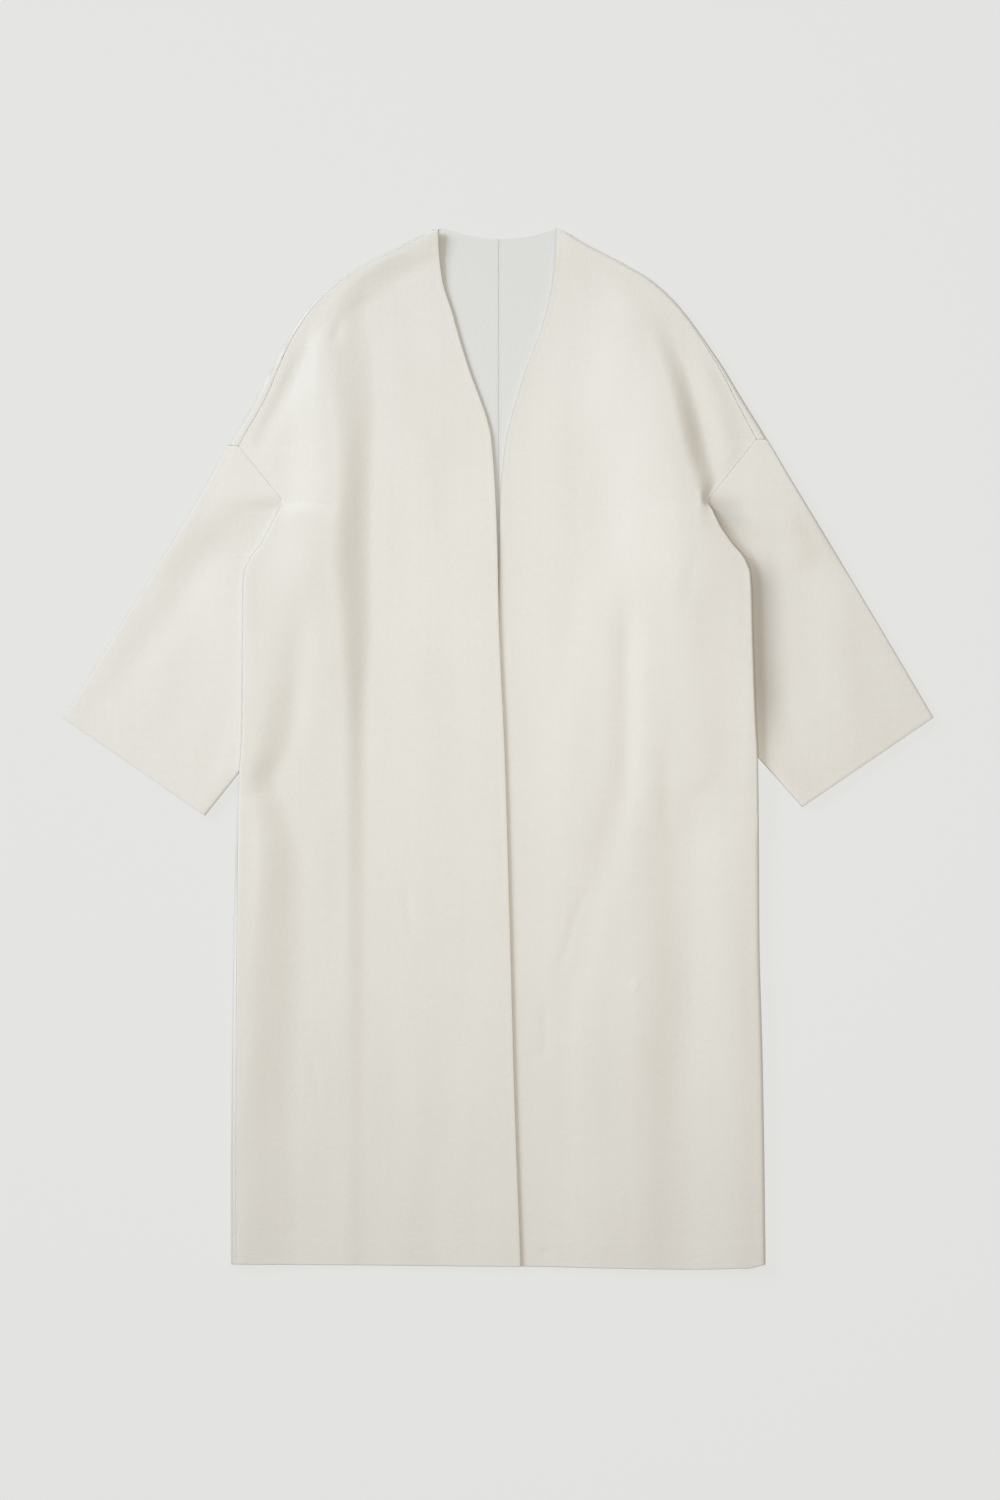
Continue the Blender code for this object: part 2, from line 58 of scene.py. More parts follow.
# ---- plan of the garment
MM = 0.001
SIGNS = {"left": 1, "right": -1}  # the way along x to each side
OUTLINE_MIDDLE = np.array([0.0005, -0.0018, 0.0])  # middle of the outline in the tables

# Levels.
HEM_Y = -0.5450
ARM_FOLD_Y = 0.2600  # the armhole seam goes in under the side fold here
ARM_TOP_Y = {"left": 0.3235, "right": 0.3170}  # the shoulder seam meets the armhole here
NECK_END_Y = 0.5395  # the shoulder seam ends at the neck here
NECK_TOP_Y = 0.5456  # highest level of the backs
SLEEVE_FOOT_Y = -0.0280  # a sleeve lies the same from here down

# Heights and the cloth between layers.
FLOOR = 0.0009  # middle of the layer that lies on the floor
PITCH = 0.0024  # middle of one layer to the middle of the next
LAYER_STEP = 0.0018  # the same where two layers are pressed together
ARM_TOP_Z = 0.0061  # height of the cloth at the top of the armhole seam
ARM_FOLD_Z = 0.0087  # and where that seam goes in under the side fold
# The six layers at the armpit: at the fold, and pressed flat further in.
LAYERS_AT_FOLD = (0.0009, 0.0029, 0.0048, 0.0066, 0.0095, 0.0131)
LAYERS_INSIDE = (0.0009, 0.0026, 0.0043, 0.0060, 0.0077, 0.0094)
SLEEVE_OPEN = 0.0044  # middle to middle of a sleeve's two layers, at the cuff
SLEEVE_PROUD = 0.0005  # how far a sleeve rises past its armhole seam
UNDER_DROP = 0.0032  # drop of a front's tucked cloth past a sleeve's end
UNDER_DROP_RUN = 0.018  # width over which it drops
UNDER_GAP = 0.002  # it starts this far before that end

# Rolls and folds.
FOLD_SQUARE = 0.42  # 1 is a round fold, less is flatter with tighter corners
FOLD_GAP = 0.0014  # least space between the two folds of a side
FOLD_CORNER = 0.0026  # from the start of a fold to its corner
ARM_JOIN = 0.0120  # length over which the side fold opens into the armhole seam
ROLL_REACH = 0.0046  # horizontal radius of the roll along the shoulder
UNDER_REACH = 0.0100  # that of a sleeve's rounder under edge near the cuff
SLEEVE_ROLL = 0.65  # that of its other edges, as a share of their height
OPEN_ROLL = 0.2  # share of the shoulder's roll left at the back neckline
PRESS_START = 0.0037  # the layers are still apart this far in from the fold's edge
PRESS_REACH = 0.042  # and lie flat after this much more

# Widths over which something comes in or dies out.
EDGE_EASE = 0.095  # a front's own height, from its free edge
CREASE_EASE = 0.012  # its small creases, from there too
FOLD_EASE = 0.016  # its creases, before its side
NECK_SLOPE = 0.060  # its way up to the roll by the neck
BACK_EASE = 0.030  # a back's creases, before its side
SLEEVE_OPENING = 0.070  # a sleeve's opening out, beyond the body's edge
SLEEVE_EASE = 0.020  # its creases, before its edges
LAP_MARGIN = 0.008  # the under front stays low this far past the edge on top of it

# The neck.
CENTRE_BACK = 0.0016  # x of the centre back seam
NECK_HALF_WIDTH = 0.0560
NECKLINE_DIP = 0.0106
NECK_POINT = 0.0052  # height of the fronts' points above the end of the shoulder seam
POINT_SLOPE = (0.0756, 0.0626)  # distances from the middle where they start and are full
POINT_MOST = 1.2  # share of the full height at the neck edge

# Stretches over which something comes in, from first end to last.
PARTING_Y = (-0.105, -0.086)  # the side's one roll becomes two folds
CROSSING_Y = (0.200, 0.310)  # the front on top comes down off the other one
NECK_ROLL_Y = (0.430, 0.480)  # the fronts come up to the shoulder's roll
HEM_ZONE_Y = (-0.495, -0.545)  # the hem's uneven level comes in
BACK_NECK_Y = (0.500, 0.545)  # the back neckline's scoop comes in
FRONT_NECK_Y = (0.500, NECK_END_Y)  # the points of the fronts come in
BACK_ROLL_Y = (0.5462, 0.5401)  # the shoulder's roll comes in, down from the neckline
HEAD_LIFT_Y = (0.266, 0.256)  # a sleeve's head goes up over the back
HEAD_SHOWS_Y = (0.250, 0.264)  # its head comes out from under the side fold
HEAD_SEAM_Y = (0.232, 0.250)  # its head follows the armhole seam
HEAD_SEAM_END = 0.20  # share of a sleeve's length over which that fades
NEAR_HEAD_Y = (0.170, 0.250)  # it takes the height of its head
TOP_ROUND = (0.5, 0.0)  # its upper edge gets the shoulder's roll, by share of its length
UNDER_ROUND = (0.5, 0.9)  # its under edge gets rounder
KEY_FACING_SHADE = (0.11, 0.45)  # painted shade on faces turned towards the key light: how far they face it where it begins and is full

# Zones in which something holds, with a smooth start and end.
Zone = namedtuple("Zone", "begin full fade end")
PRESSED_Y = Zone(-0.048, -0.008, 0.216, 0.246)  # cloth is folded under at the armpit
HOLLOW_Y = Zone(-0.035, 0.055, 0.210, 0.250)  # a sleeve is hollow beside the body
HOLLOW_OUT = Zone(0.0, 0.010, 0.020, 0.105)  # the same, by distance beyond the fold
PAINTED_SHADOW_Y = Zone(-0.020, 0.070, 0.163, 0.228)  # a painted shadow darkens the sleeve there, beside the body's fold
PAINTED_SHADOW_OUT = (0.042, 0.010)  # distances beyond the fold where that begins and is full
PAINTED_SHADOW_CORNER_Y = 0.244  # the painted shadow is at the armhole's corner too
PAINTED_SHADOW_CORNER = 0.019
PAINTED_SHADOW_DEPTH = 0.65  # how dark the painted shadow is
KEY_LIGHT_WAY = (-0.924, 0.381)  # roughly the way towards the key light, in plan; faces turned this way get painted shade

# Painted shade along a front's free edge and a back's centre seam, strongest on the front edge that
# faces the key light, and how far in it shows.
EDGE_PAINTED_SHADE = {"back_left": 0.3, "back_right": 0.3, "front_left": 1.0, "front_right": 0.2}
EDGE_SHADE_WIDTH = 0.0022
RIM_INNER = 0.15  # share of the inner face's colour, which is partly painted shade, on a rim
SEAM_ROUND = 0.12  # how round a sewn rim is: 0.5 is a half circle
EDGE_ROUND = 0.36  # the same for a rim that is free

# Stitched turns: width and depth of the groove, and width over which the turned cloth ends.
# Depths and the swell beside an edge's stitching are shares of the puff.
Stitch = namedtuple("Stitch", "width depth fade")
HEM_STITCH = Stitch(0.0022, 0.7, 0.0020)
EDGE_STITCH = Stitch(0.0013, 0.9, 0.0015)
EDGE_SWELL = 1.2
HEM_STITCH_UP = 0.0010  # how far above the hem's turn its stitching lies

# Slow waves of the felt: their size, their seed and their share of its unevenness.
Wave = namedtuple("Wave", "size seed share")
FRONT_WAVE = Wave(0.045, 3.0, 1.0)
SLEEVE_WAVE = Wave(0.050, 8.0, 0.5)
WAVE_STRETCH = 0.35  # less than 1 makes them longer up the body than across


def table(kind, *rows):
    """A table with a named row for each tuple of values."""
    return tuple(kind(*row) for row in rows)


# The side of the body below the armhole seam.
# edge: folded edge from the middle      rise, drop: height of the back's and the front's
# half of it      reach: horizontal radius of the roll      front, back: degrees that each
# panel goes round it      tuck: cloth that runs back in under it
# room: space for the sleeve between the two folds
Side = namedtuple("Side", "y edge rise drop reach front back tuck room")


def tucked(drop, *rows):
    """Rows of a side's stretch where both panels turn right round and back in."""
    return tuple(Side(y, edge, 2.0, drop, 3.0, 180, 180, tuck, room)
                 for y, edge, tuck, room in rows)


SIDES = {
    "left": (
        *table(Side,
               (-545, 282.0, 2.9, 2.9, 9, 100, 80, 0, 0), (-450, 281.0, 3.2, 3.2, 9, 100, 80, 0, 0),
               (-330, 279.0, 3.5, 3.5, 9, 100, 80, 0, 0), (-200, 275.6, 3.7, 3.7, 9, 100, 80, 0, 0.1),
               (-105, 275.0, 3.7, 3.7, 8, 100, 80, 0, 1.1), (-86, 274.8, 3.5, 3.5, 6, 115, 115, 0, 1.8),
               (-66, 274.5, 3.2, 3.2, 4.4, 150, 150, 0, 2.8)),
        *tucked(3.6, (-48, 274.3, 8, 3.9), (-28, 273.9, 30, 4.7), (0, 273.2, 52, 5.1),
                (26, 271.5, 74, 5.3), (78, 269.5, 96, 5.3), (128, 268.0, 100, 5.3),
                (160, 267.2, 92, 5.3), (181, 266.0, 82, 5.3), (197, 260.6, 68, 5.3),
                (213, 247.4, 48, 5.3), (228, 237.0, 25, 5.4), (238, 231.4, 6, 5.5)),
        Side(246, 227.6, 2.4, 2.6, 2.8, 150, 150, 0, 5.6),
        Side(260, 221.7, 1.9, 2.4, 3.0, 110, 110, 0, 6.2)),
    "right": (
        *table(Side,
               (-545, 280.5, 2.4, 2.4, 8, 6, 174, 0, 0), (-450, 280.6, 2.9, 2.9, 8, 6, 174, 0, 0),
               (-370, 279.8, 3.6, 3.6, 8, 9, 171, 0, 0), (-287, 278.8, 4.0, 4.0, 8, 14, 166, 0, 0),
               (-200, 277.6, 4.2, 4.2, 8, 18, 162, 0, 0), (-105, 275.2, 4.1, 4.1, 7, 30, 150, 0, 0.9),
               (-86, 274.2, 3.6, 3.6, 6, 100, 115, 0, 1.6),
               (-66, 273.4, 3.2, 2.9, 4.4, 150, 150, 0, 2.6)),
        *tucked(2.6, (-48, 272.6, 8, 3.5), (-28, 271.8, 30, 4.3), (0, 269.6, 50, 4.8),
                (26, 268.6, 66, 5.0), (78, 268.2, 80, 5.0), (128, 268.0, 88, 5.0),
                (160, 267.6, 86, 5.0), (181, 266.6, 78, 5.0), (197, 260.4, 66, 5.0),
                (213, 248.4, 48, 4.9), (228, 240.2, 25, 4.8), (238, 235.4, 6, 4.8)),
        Side(246, 231.4, 2.4, 2.2, 2.8, 150, 150, 0, 4.3),
        Side(260, 226.4, 1.9, 2.0, 3.0, 110, 110, 0, 3.2)),
}
# How a front lies between its free edge and its side.
# plateau: height of the raised part, which starts at foot and is reached at crest
# inner, outer: where the height goes over to that of the side fold or the shoulder's roll
Lie = namedtuple("Lie", "y plateau foot crest inner outer")
LIES = {
    "left": table(
        Lie, (-545, 6.4, 60, 190, 196, 262), (-105, 7.2, 60, 190, 200, 258),
        (-60, 9.0, 60, 200, 200, 262), (-28, 11.2, 60, 225, 225, 266),
        (26, 12.4, 60, 220, 225, 264), (128, 13.2, 70, 205, 225, 262),
        (197, 14.8, 90, 200, 214, 262), (238, 14.8, 95, 198, 210, 230),
        (260, 14.5, 95, 196, 213, 221.8), (280, 14.4, 94, 193, 207, 230),
        (304, 14.0, 92, 188, 198, 223), (341, 13.0, 92, 180, 189, 215),
        (388, 10.6, 95, 168, 177, 202), (441, 7.8, 100, 150, 158, 182),
        (480, 6.8, 100, 140, 148, 176)),
    "right": table(
        Lie, (-545, 4.5, 138, 160, 210, 270), (-370, 4.7, 138, 160, 210, 270),
        (-287, 5.0, 138, 160, 206, 268), (-203, 5.5, 138, 160, 203, 262),
        (-119, 6.1, 138, 160, 204, 252), (-62, 6.6, 138, 160, 222, 258),
        (-35, 6.9, 138, 160, 232, 262), (0, 7.3, 138, 160, 216, 256),
        (50, 8.2, 137, 161, 203, 249), (92, 9.6, 134, 164, 197, 248),
        (134, 10.8, 131, 167, 194, 250), (197, 12.3, 131, 173, 197, 256),
        (238, 11.8, 131, 172, 188, 231), (260, 10.8, 131, 169, 180, 222),
        (313, 9.7, 129, 168, 180, 226), (344, 9.3, 127, 172, 182, 226),
        (388, 8.4, 127, 181, 184, 214), (418, 7.8, 130, 184, 186, 204),
        (448, 6.2, 138, 178, 178, 198), (480, 5.2, 140, 166, 166, 190)),
}
# The outline from the armhole seam up to the neck, the rise of the roll along the shoulder,
# and how far in from the outline its seam lies.
Shoulder = namedtuple("Shoulder", "y left right rise seam_left seam_right")
SHOULDERS = table(
    Shoulder, (314, 289.0, 285.2, 2.6, 9.6, 9.8), (322, 284.4, 280.4, 2.6, 9.5, 9.8),
    (330, 279.8, 276.0, 2.6, 9.2, 9.8), (366, 257.5, 254.8, 2.6, 6.4, 9.4),
    (401, 236.4, 236.6, 2.6, 4.0, 6.6), (435, 212.8, 217.2, 2.7, 2.6, 3.8),
    (464, 190.4, 196.0, 2.7, 2.4, 3.0), (490, 162.6, 168.6, 2.8, 2.4, 2.6),
    (508, 132.6, 139.4, 3.0, 2.4, 2.4), (522, 105.4, 110.6, 3.2, 2.4, 2.4),
    (532, 86.8, 91.6, 3.4, 2.4, 2.4), (539, 75.6, 76.4, 3.5, 2.4, 2.4),
    (544, 65.6, 66.2, 3.5, 2.4, 2.4), (548, 56.6, 57.6, 3.5, 2.4, 2.4))
# The free edge of each front, signed x, and its height above the layer it lies on.
Edge = namedtuple("Edge", "y left right lift")
EDGES = table(
    Edge, (-545, -15.0, 24.7, 0.0), (-372, -12.0, 18.4, 0.0), (-182, -8.0, 13.2, 0.0),
    (-3, -4.0, 7.9, 0.0), (139, 0.8, 1.6, 0.0), (197, 1.6, 0.5, 0.1), (260, 2.6, -1.6, 0.1),
    (323, 8.2, -6.0, 0.1), (344, 13.3, -10.4, 0.1), (366, 19.6, -17.9, 0.1),
    (398, 29.6, -29.8, 0.2), (430, 42.0, -39.8, 0.2), (458, 50.8, -47.6, 0.3),
    (488, 57.0, -57.0, 0.8), (520, 60.4, -61.4, 2.6), (548, 61.4, -62.6, 4.4))
# How far the hem lies above its level at a signed x.
Point = namedtuple("Point", "x up")
HEM_LINE = table(Point, (-282, 1.0), (-240, 0.4), (0, -1.5), (205, -4.6), (262, -3.4), (283, 0.6))
# Plan of a sleeve: the ends of its long edges, how far its head bows in, how far its upper
# edge stands out at the head and halfway, the width beyond the body's edge over which it
# comes down to the floor, and the depth of the hollow there.
Arm = namedtuple("Arm", "head under cuff_top cuff_under head_bow head_out top_bow settle hollow")
ARMS = {
    "left": Arm((272.4, 333.0), (147.0, 131.0), (458.8, 31.0), (320.4, -63.4), 7.0, 4.4, 1.0,
                26, 2.6),
    "right": Arm((268.4, 333.0), (147.0, 131.0), (457.4, 31.0), (307.4, -72.6), 4.0, 4.4, -1.4,
                 72, 0.0),
}

# Creases in the cloth, as raised (+) or sunk (-) soft strips between two points.
Crease = namedtuple("Crease", "x0 y0 x1 y1 width height")
FRONT_CREASES = table(
    Crease, (-76, 350, -74, -180, 36, 0.9), (-76, -180, -78, -420, 34, 0.6),
    (-118, 505, -66, 500, 14, -0.5), (-102, 482, -70, 430, 14, -0.4),
    (-198, 280, -202, 172, 24, 0.8), (-167, 447, -171, 424, 7, -0.7),
    (-206, 408, -251, 318, 11, -1.0), (-206, 140, -217, 20, 14, -0.85),
    (82, 470, 82, 110, 18, -0.6), (137, 140, 135, -50, 13, -1.7),
    (128, -50, 82, -225, 19, -1.15), (80, -225, 66, -300, 18, -0.8),
    (68, -290, 66, -430, 17, -0.8), (152, -60, 150, -500, 24, 0.7),
    (191, 30, 191, -520, 24, -1.15), (177, -4, 178, -84, 8, -0.5),
    (72, 60, 66, -120, 24, 0.5), (45, 505, 132, 470, 20, -0.7), (214, 405, 246, 304, 13, 0.9))
SMALL_CREASES = table(
    Crease, (88, -160, 65, -236, 5, -0.35), (50, -275, 51, -320, 4, -0.35),
    (18, -324, 50, -325, 3.5, -0.3), (142, -250, 148, -252, 6, 0.4),
    (50, -526, 52, -534, 6, -0.4), (-196, -320, -190, -362, 5, -0.25),
    (-96, -150, -90, -196, 5, -0.25), (205, 196, 198, 150, 6, -0.35))
SLEEVE_CREASES = {
    "left": table(Crease, (372, 110, 408, 48, 16, -0.5), (306, 246, 324, 196, 18, 0.9),
                  (292, 70, 318, -10, 14, -0.4)),
    "right": table(Crease, (-281, 232, -404, 58, 18, -0.8), (-330, 120, -372, 20, 18, 0.3),
                   (-285, 40, -300, -40, 14, -0.3)),
}
BACK_CREASES = table(
    Crease, (-150, 120, -172, -240, 16, 0.7), (92, 300, 84, -60, 18, 0.8),
    (190, -60, 176, -430, 16, 0.7), (-78, -120, -64, -440, 14, 0.6))
# A crease fades out at each end over this share of its length, and this share of its width.
FADE_LENGTH = 0.25
FADE_WIDTH = 0.10

# Spacing of the level sections: each step is used up to its level.
Spacing = namedtuple("Spacing", "until step")
LEVEL_SPACING = table(Spacing, (-538, 1.6), (-512, 3.0), (230, 3.7), (270, 1.4), (488, 3.4),
                      (560, 1.3))
FIRST_LEVEL = 0.0016  # from the hem to the first of them
LAST_LEVEL = 0.0012  # least distance from the last of them to the top
LEVEL_CLEAR = 0.0015  # none lies nearer than this to an end of the armhole seam
CORNER_LEVELS = (-1.5, -0.6, 0.0, 0.9)  # those round the top of the armhole, millimetres
FOLD_LEVELS = (-0.8, 0.0)  # those round the start of its hidden part
RIM_STEPS = (0.0, 0.10, 0.35, 0.80)  # millimetres in from an edge, round its curve
PATH_STEP = 0.0009  # step along a section before its points are taken
PATH_LEAST = 0.00002  # least distance between two of its points
LEVEL_LEAST = 12  # least points across a panel before its bend
OUTLINE_STEP = 0.004  # half of the stretch on which the outline's slope is taken
ARC_STEPS = 96  # points round a fold before a section's points are taken

# Density of a section's points, and the width and added density of its dense spots.
DENSITY = 1 / 3.6
DENSITY_STEPS = 600  # steps in which it is summed up
EDGE_DENSE = 0.009  # width of the spot where a section starts
CREST_DENSE = (0.017, 0.36)  # where its fold starts
CORNER_DENSE = (0.0036, 1.3)  # at the fold's corner
SLEEVE_RUN = 52  # cells across one layer of a sleeve
SLEEVE_END = 12  # cells round each rolled edge of a sleeve
SLEEVE_ROWS = 96
SLEEVE_ROWS_POWER = 1.06  # more than 1 draws them towards the head
SLEEVE_FIRST_ROW = 0.006  # share of the length before which only the rim's rows lie
TINY = 1e-12  # keeps a division from being by nothing


# ---- settings
def size_setting(name, about, default):
    return FloatProperty(name=name, description=about, default=default, unit="LENGTH")


def share_setting(name, about, default):
    return FloatProperty(name=name, description=about, default=default, min=0.0, max=1.0,
                         subtype="FACTOR")


def colour_setting(name, about, default):
    return FloatVectorProperty(name=name, description=about, default=default, size=3,
                               subtype="COLOR")


def light_setting(name, about, default, unit="NONE"):
    return FloatProperty(name=name, description=about, default=default, min=0.0, unit=unit)


class CardiganCloth(bpy.types.PropertyGroup):
    """Sizes of the cloth, its folds and its finished edges."""
    thickness: size_setting("Cloth thickness", "Thickness of the felted wool", 0.0016)
    seam: size_setting("Seam gap", "Gap between two panels sewn together", 0.00016)
    swell_left: size_setting("Swell, left", "Height of the middle of the wearer's left front",
                             0.0054)
    swell_right: size_setting("Swell, right", "Height of the middle of the wearer's right one",
                              0.0027)
    edge_turn: size_setting("Edge turn", "Width turned in along a free edge", 0.0072)
    hem_turn: size_setting("Hem turn", "Width turned up at the hem", 0.0270)
    edge_extra: size_setting("Edge thickness", "What the turned edge adds on the inside", 0.0006)
    hem_extra: size_setting("Hem thickness", "What the turned hem adds on the inside", 0.0011)
    puff: size_setting("Edge puff", "How far a turned edge swells beside its stitching", 0.00003)
    hem_ridge: size_setting("Hem ridge", "How far the turned hem stands out outside", 0.00008)
    crease_depth: FloatProperty(name="Crease depth", description="Scale of the soft creases",
                                default=1.0, min=0.0, subtype="FACTOR")
    unevenness: size_setting("Unevenness", "Height of the felt's own slow waves", 0.0006)


class CardiganFinish(bpy.types.PropertyGroup):
    """Colours and surface of the felted wool."""
    wool: colour_setting("Wool", "Outer face of the wool", (0.801, 0.785, 0.728))
    shade: colour_setting("Wool shade", "Deeper tone in its mottling", (0.756, 0.737, 0.676))
    # The inner face's colour is partly the wool's own cooler inner face and partly painted shade, as
    # dark as the shaded inside of the back at the neck.
    inner: colour_setting("Inner face", "Cooler inner face of the wool", (0.738, 0.740, 0.712))
    # How much the painted shade in the 'turned' attribute darkens the wool: on faces turned towards the
    # key light, along edges, and beside the body.
    painted_shade_strength: share_setting("Fold shade", "How much deeper the parted nap looks", 0.29)
    sheen: share_setting("Sheen", "Soft light on the nap", 0.06)


class CardiganStage(bpy.types.PropertyGroup):
    """Floor, lights and camera."""
    floor: colour_setting("Floor", "Colour of the plain floor", (0.783, 0.783, 0.768))
    floor_glow: share_setting("Floor glow", "Share of the floor's own light", 0.90)
    view_height: size_setting("View height", "Length of floor in the view", 1.5795)
    lens: FloatProperty(name="Lens", description="Focal length in millimetres", default=100.0,
                        unit="CAMERA")
    key: light_setting("Key light", "Power of the light from the side", 296.0, "POWER")
    fill: light_setting("Fill light", "Power of the light from above", 8.4, "POWER")
    room: light_setting("Room light", "Strength of the light from all round", 0.32)


# ---- helpers
def along(table, column, at):
    """A column of a table at the given levels, on a smooth curve that never overshoots."""
    ys = np.array([row.y for row in table]) * MM
    values = np.array([getattr(row, column) for row in table], dtype=float)
    rates = np.diff(values) / np.diff(ys)
    before, after = rates[:-1], rates[1:]
    same_way = before * after > 0
    total = np.where(same_way, before + after, 1.0)
    tangents = np.concatenate([rates[:1], np.where(same_way, 2 * before * after / total, 0),
                               rates[-1:]])
    at = np.clip(at, ys[0], ys[-1])
    i = np.clip(np.searchsorted(ys, at, side="right") - 1, 0, len(ys) - 2)
    step = ys[i + 1] - ys[i]
    t = (at - ys[i]) / step
    return ((2 * t ** 3 - 3 * t ** 2 + 1) * values[i]
            + (t ** 3 - 2 * t ** 2 + t) * step * tangents[i]
            + (3 * t ** 2 - 2 * t ** 3) * values[i + 1]
            + (t ** 3 - t ** 2) * step * tangents[i + 1])


def ease(t):
    """0 before t = 0, 1 after t = 1, with a smooth step between."""
    t = np.clip(t, 0.0, 1.0)
    return t * t * (3 - 2 * t)


def ramp(value, stretch):
    """0 before a stretch's first end, 1 past its last end, with a smooth step between."""
    first, last = stretch
    return ease((value - first) / (last - first))


def within(value, zone):
    """1 in the middle part of a zone and 0 outside it, with smooth steps."""
    return ramp(value, (zone.begin, zone.full)) * ramp(value, (zone.end, zone.fade))


def hump(distance, width):
    """1 on a line, going down softly on both sides of it."""
    return np.exp(-(distance / width) ** 2)


def mix(a, b, t):
    return a + (b - a) * t


def lengths(points):
    """Running length along a line of points."""
    steps = np.linalg.norm(np.diff(points, axis=0), axis=1)
    return np.concatenate([[0.0], np.cumsum(steps)])


def at_lengths(points, where):
    """Points at the given lengths along a line of points."""
    run = lengths(points)
    return np.column_stack([np.interp(where, run, points[:, k]) for k in range(2)])


def spread(total, dense, count):
    """Lengths along a section: round its two rims, closer together near the dense spots."""
    fine = np.linspace(0, total, DENSITY_STEPS)
    weight = np.full_like(fine, DENSITY)
    for spot, width, extra in dense:
        weight += extra * hump(fine - spot, width)
    weight = np.concatenate([[0.0], np.cumsum((weight[1:] + weight[:-1]) / 2)])
    rim = np.array(RIM_STEPS) * MM
    inner = np.linspace(np.interp(rim[-1], fine, weight),
                        np.interp(total - rim[-1], fine, weight), count - 2 * len(rim) + 2)
    middle = np.interp(inner, weight, fine)[1:-1]
    return np.concatenate([rim, middle, total - rim[::-1]])


def strips(creases, x, y):
    """Sum of soft strips at signed points of the plan."""
    total = np.zeros(np.broadcast(x, y).shape)
    for crease in creases:
        dx = (crease.x1 - crease.x0) * MM
        dy = (crease.y1 - crease.y0) * MM
        length = math.hypot(dx, dy)
        rx = x - crease.x0 * MM
        ry = y - crease.y0 * MM
        t = (rx * dx + ry * dy) / length ** 2
        across = (rx * dy - ry * dx) / length
        fade = FADE_LENGTH + FADE_WIDTH * crease.width * MM / length
        ends = within(t, Zone(-fade, fade, 1 - fade, 1 + fade))
        total += crease.height * MM * hump(across, crease.width * MM) * ends
    return total


def waves(cloth, side, x, y, wave):
    """Height of the felt's slow uneven waves over the plan."""
    x, y = np.broadcast_arrays(x, y)
    seed = wave.seed + SIGNS[side]
    spots = zip(x.ravel() / wave.size, WAVE_STRETCH * y.ravel() / wave.size)
    values = [noise.noise(Vector((a, b, seed))) for a, b in spots]
    return wave.share * cloth.unevenness * np.array(values).reshape(x.shape)


def squarer(value):
    """Sine or cosine of a flattened fold instead of a round one."""
    return np.sign(value) * np.abs(value) ** FOLD_SQUARE


# ---- the garment's own curves
def free_edge(side, y):
    """Distance of a front's free edge from the middle, less than 0 where it is past it."""
    return SIGNS[side] * along(EDGES, side, y) * MM


def folded_edge(side, y):
    """Distance of the side fold's edge from the middle."""
    return along(SIDES[side], "edge", y) * MM


def armhole_share(side, y):
    """Share of the way up the visible armhole seam."""
    return (y - ARM_FOLD_Y) / (ARM_TOP_Y[side] - ARM_FOLD_Y)


def armhole_x(side, y):
    """Distance of the armhole seam from the middle, where it can be seen."""
    roll = shoulder_roll(side, ARM_TOP_Y[side])
    high = roll.centre + roll.reach * squarer(math.sin(roll.seam_turn)) - roll.run
    return mix(folded_edge(side, ARM_FOLD_Y), high, armhole_share(side, y))


def armhole_z(side, y):
    """Height of the cloth along the visible armhole seam."""
    return mix(ARM_FOLD_Z, ARM_TOP_Z, armhole_share(side, y))


def outline_share(side, y):
    """Share of the shoulder outline's normal that points sideways."""
    rise = along(SHOULDERS, side, y + OUTLINE_STEP) - along(SHOULDERS, side, y - OUTLINE_STEP)
    return 1 / math.hypot(1, rise * MM / (2 * OUTLINE_STEP))


Fold = namedtuple("Fold", "centre reach front_turn back_turn front_up back_up tuck top")


def side_fold(side, y):
    """Shape of the side fold at a level: a shared roll low down, two folds at the armpit."""
    edge, rise, drop, reach, tuck, room = (
        along(SIDES[side], column, y) * MM
        for column in ("edge", "rise", "drop", "reach", "tuck", "room"))
    front, back = (math.radians(along(SIDES[side], panel, y)) for panel in ("front", "back"))
    top = FLOOR + rise + drop + FOLD_GAP + room
    shared = (top - FLOOR) / 2
    front_up, back_up = (mix(shared, height / (1 - math.cos(turn)), ramp(y, PARTING_Y))
                         for height, turn in ((drop, front), (rise, back)))
    return Fold(edge - FLOOR - reach, reach, front, back, front_up, back_up, tuck, top)


Roll = namedtuple("Roll", "centre reach rise top seam_turn run")


def shoulder_roll(side, y):
    """Shape of the roll along the shoulder."""
    edge = along(SHOULDERS, side, y) * MM
    rise = along(SHOULDERS, "rise", y) * MM
    reach = ROLL_REACH / outline_share(side, y)
    seam = along(SHOULDERS, "seam_" + side, y) * MM - FLOOR
    beside = max(1 - seam / ROLL_REACH, 0.0) ** (1 / FOLD_SQUARE)
    seam_turn = math.pi - math.asin(beside)
    run = max(seam - ROLL_REACH, 0.0) / outline_share(side, y)
    return Roll(edge - FLOOR - reach, reach, rise, FLOOR + 2 * rise, seam_turn, run)


def pressed(side, out, y, z):
    """Presses the under layers at the armpit flat, away from the side fold."""
    level = np.clip(y, PRESSED_Y.begin, ARM_FOLD_Y)
    inside = ease((folded_edge(side, level) - PRESS_START - out) / PRESS_REACH)
    flat = np.interp(z, LAYERS_AT_FOLD, LAYERS_INSIDE)
    return mix(z, flat, inside * within(y, PRESSED_Y))


def below_sleeve(side, out, y, z):
    """Lets the front's tucked cloth down where there is no sleeve under it."""
    arm = ARMS[side]
    share = (arm.under[1] * MM - y) / ((arm.under[1] - arm.cuff_under[1]) * MM)
    end = mix(arm.under[0], arm.cuff_under[0], max(share, 0.0)) * MM
    return z - UNDER_DROP * ease((end - UNDER_GAP - out) / UNDER_DROP_RUN)


def front_end(side, y):
    """Where a front stops being level at its side, and its height there."""
    if y < ARM_FOLD_Y:
        fold = side_fold(side, y)
        return fold.centre, fold.top
    if y < ARM_TOP_Y[side]:
        return armhole_x(side, y), armhole_z(side, y)
    roll = shoulder_roll(side, y)
    return roll.centre - roll.run, roll.top


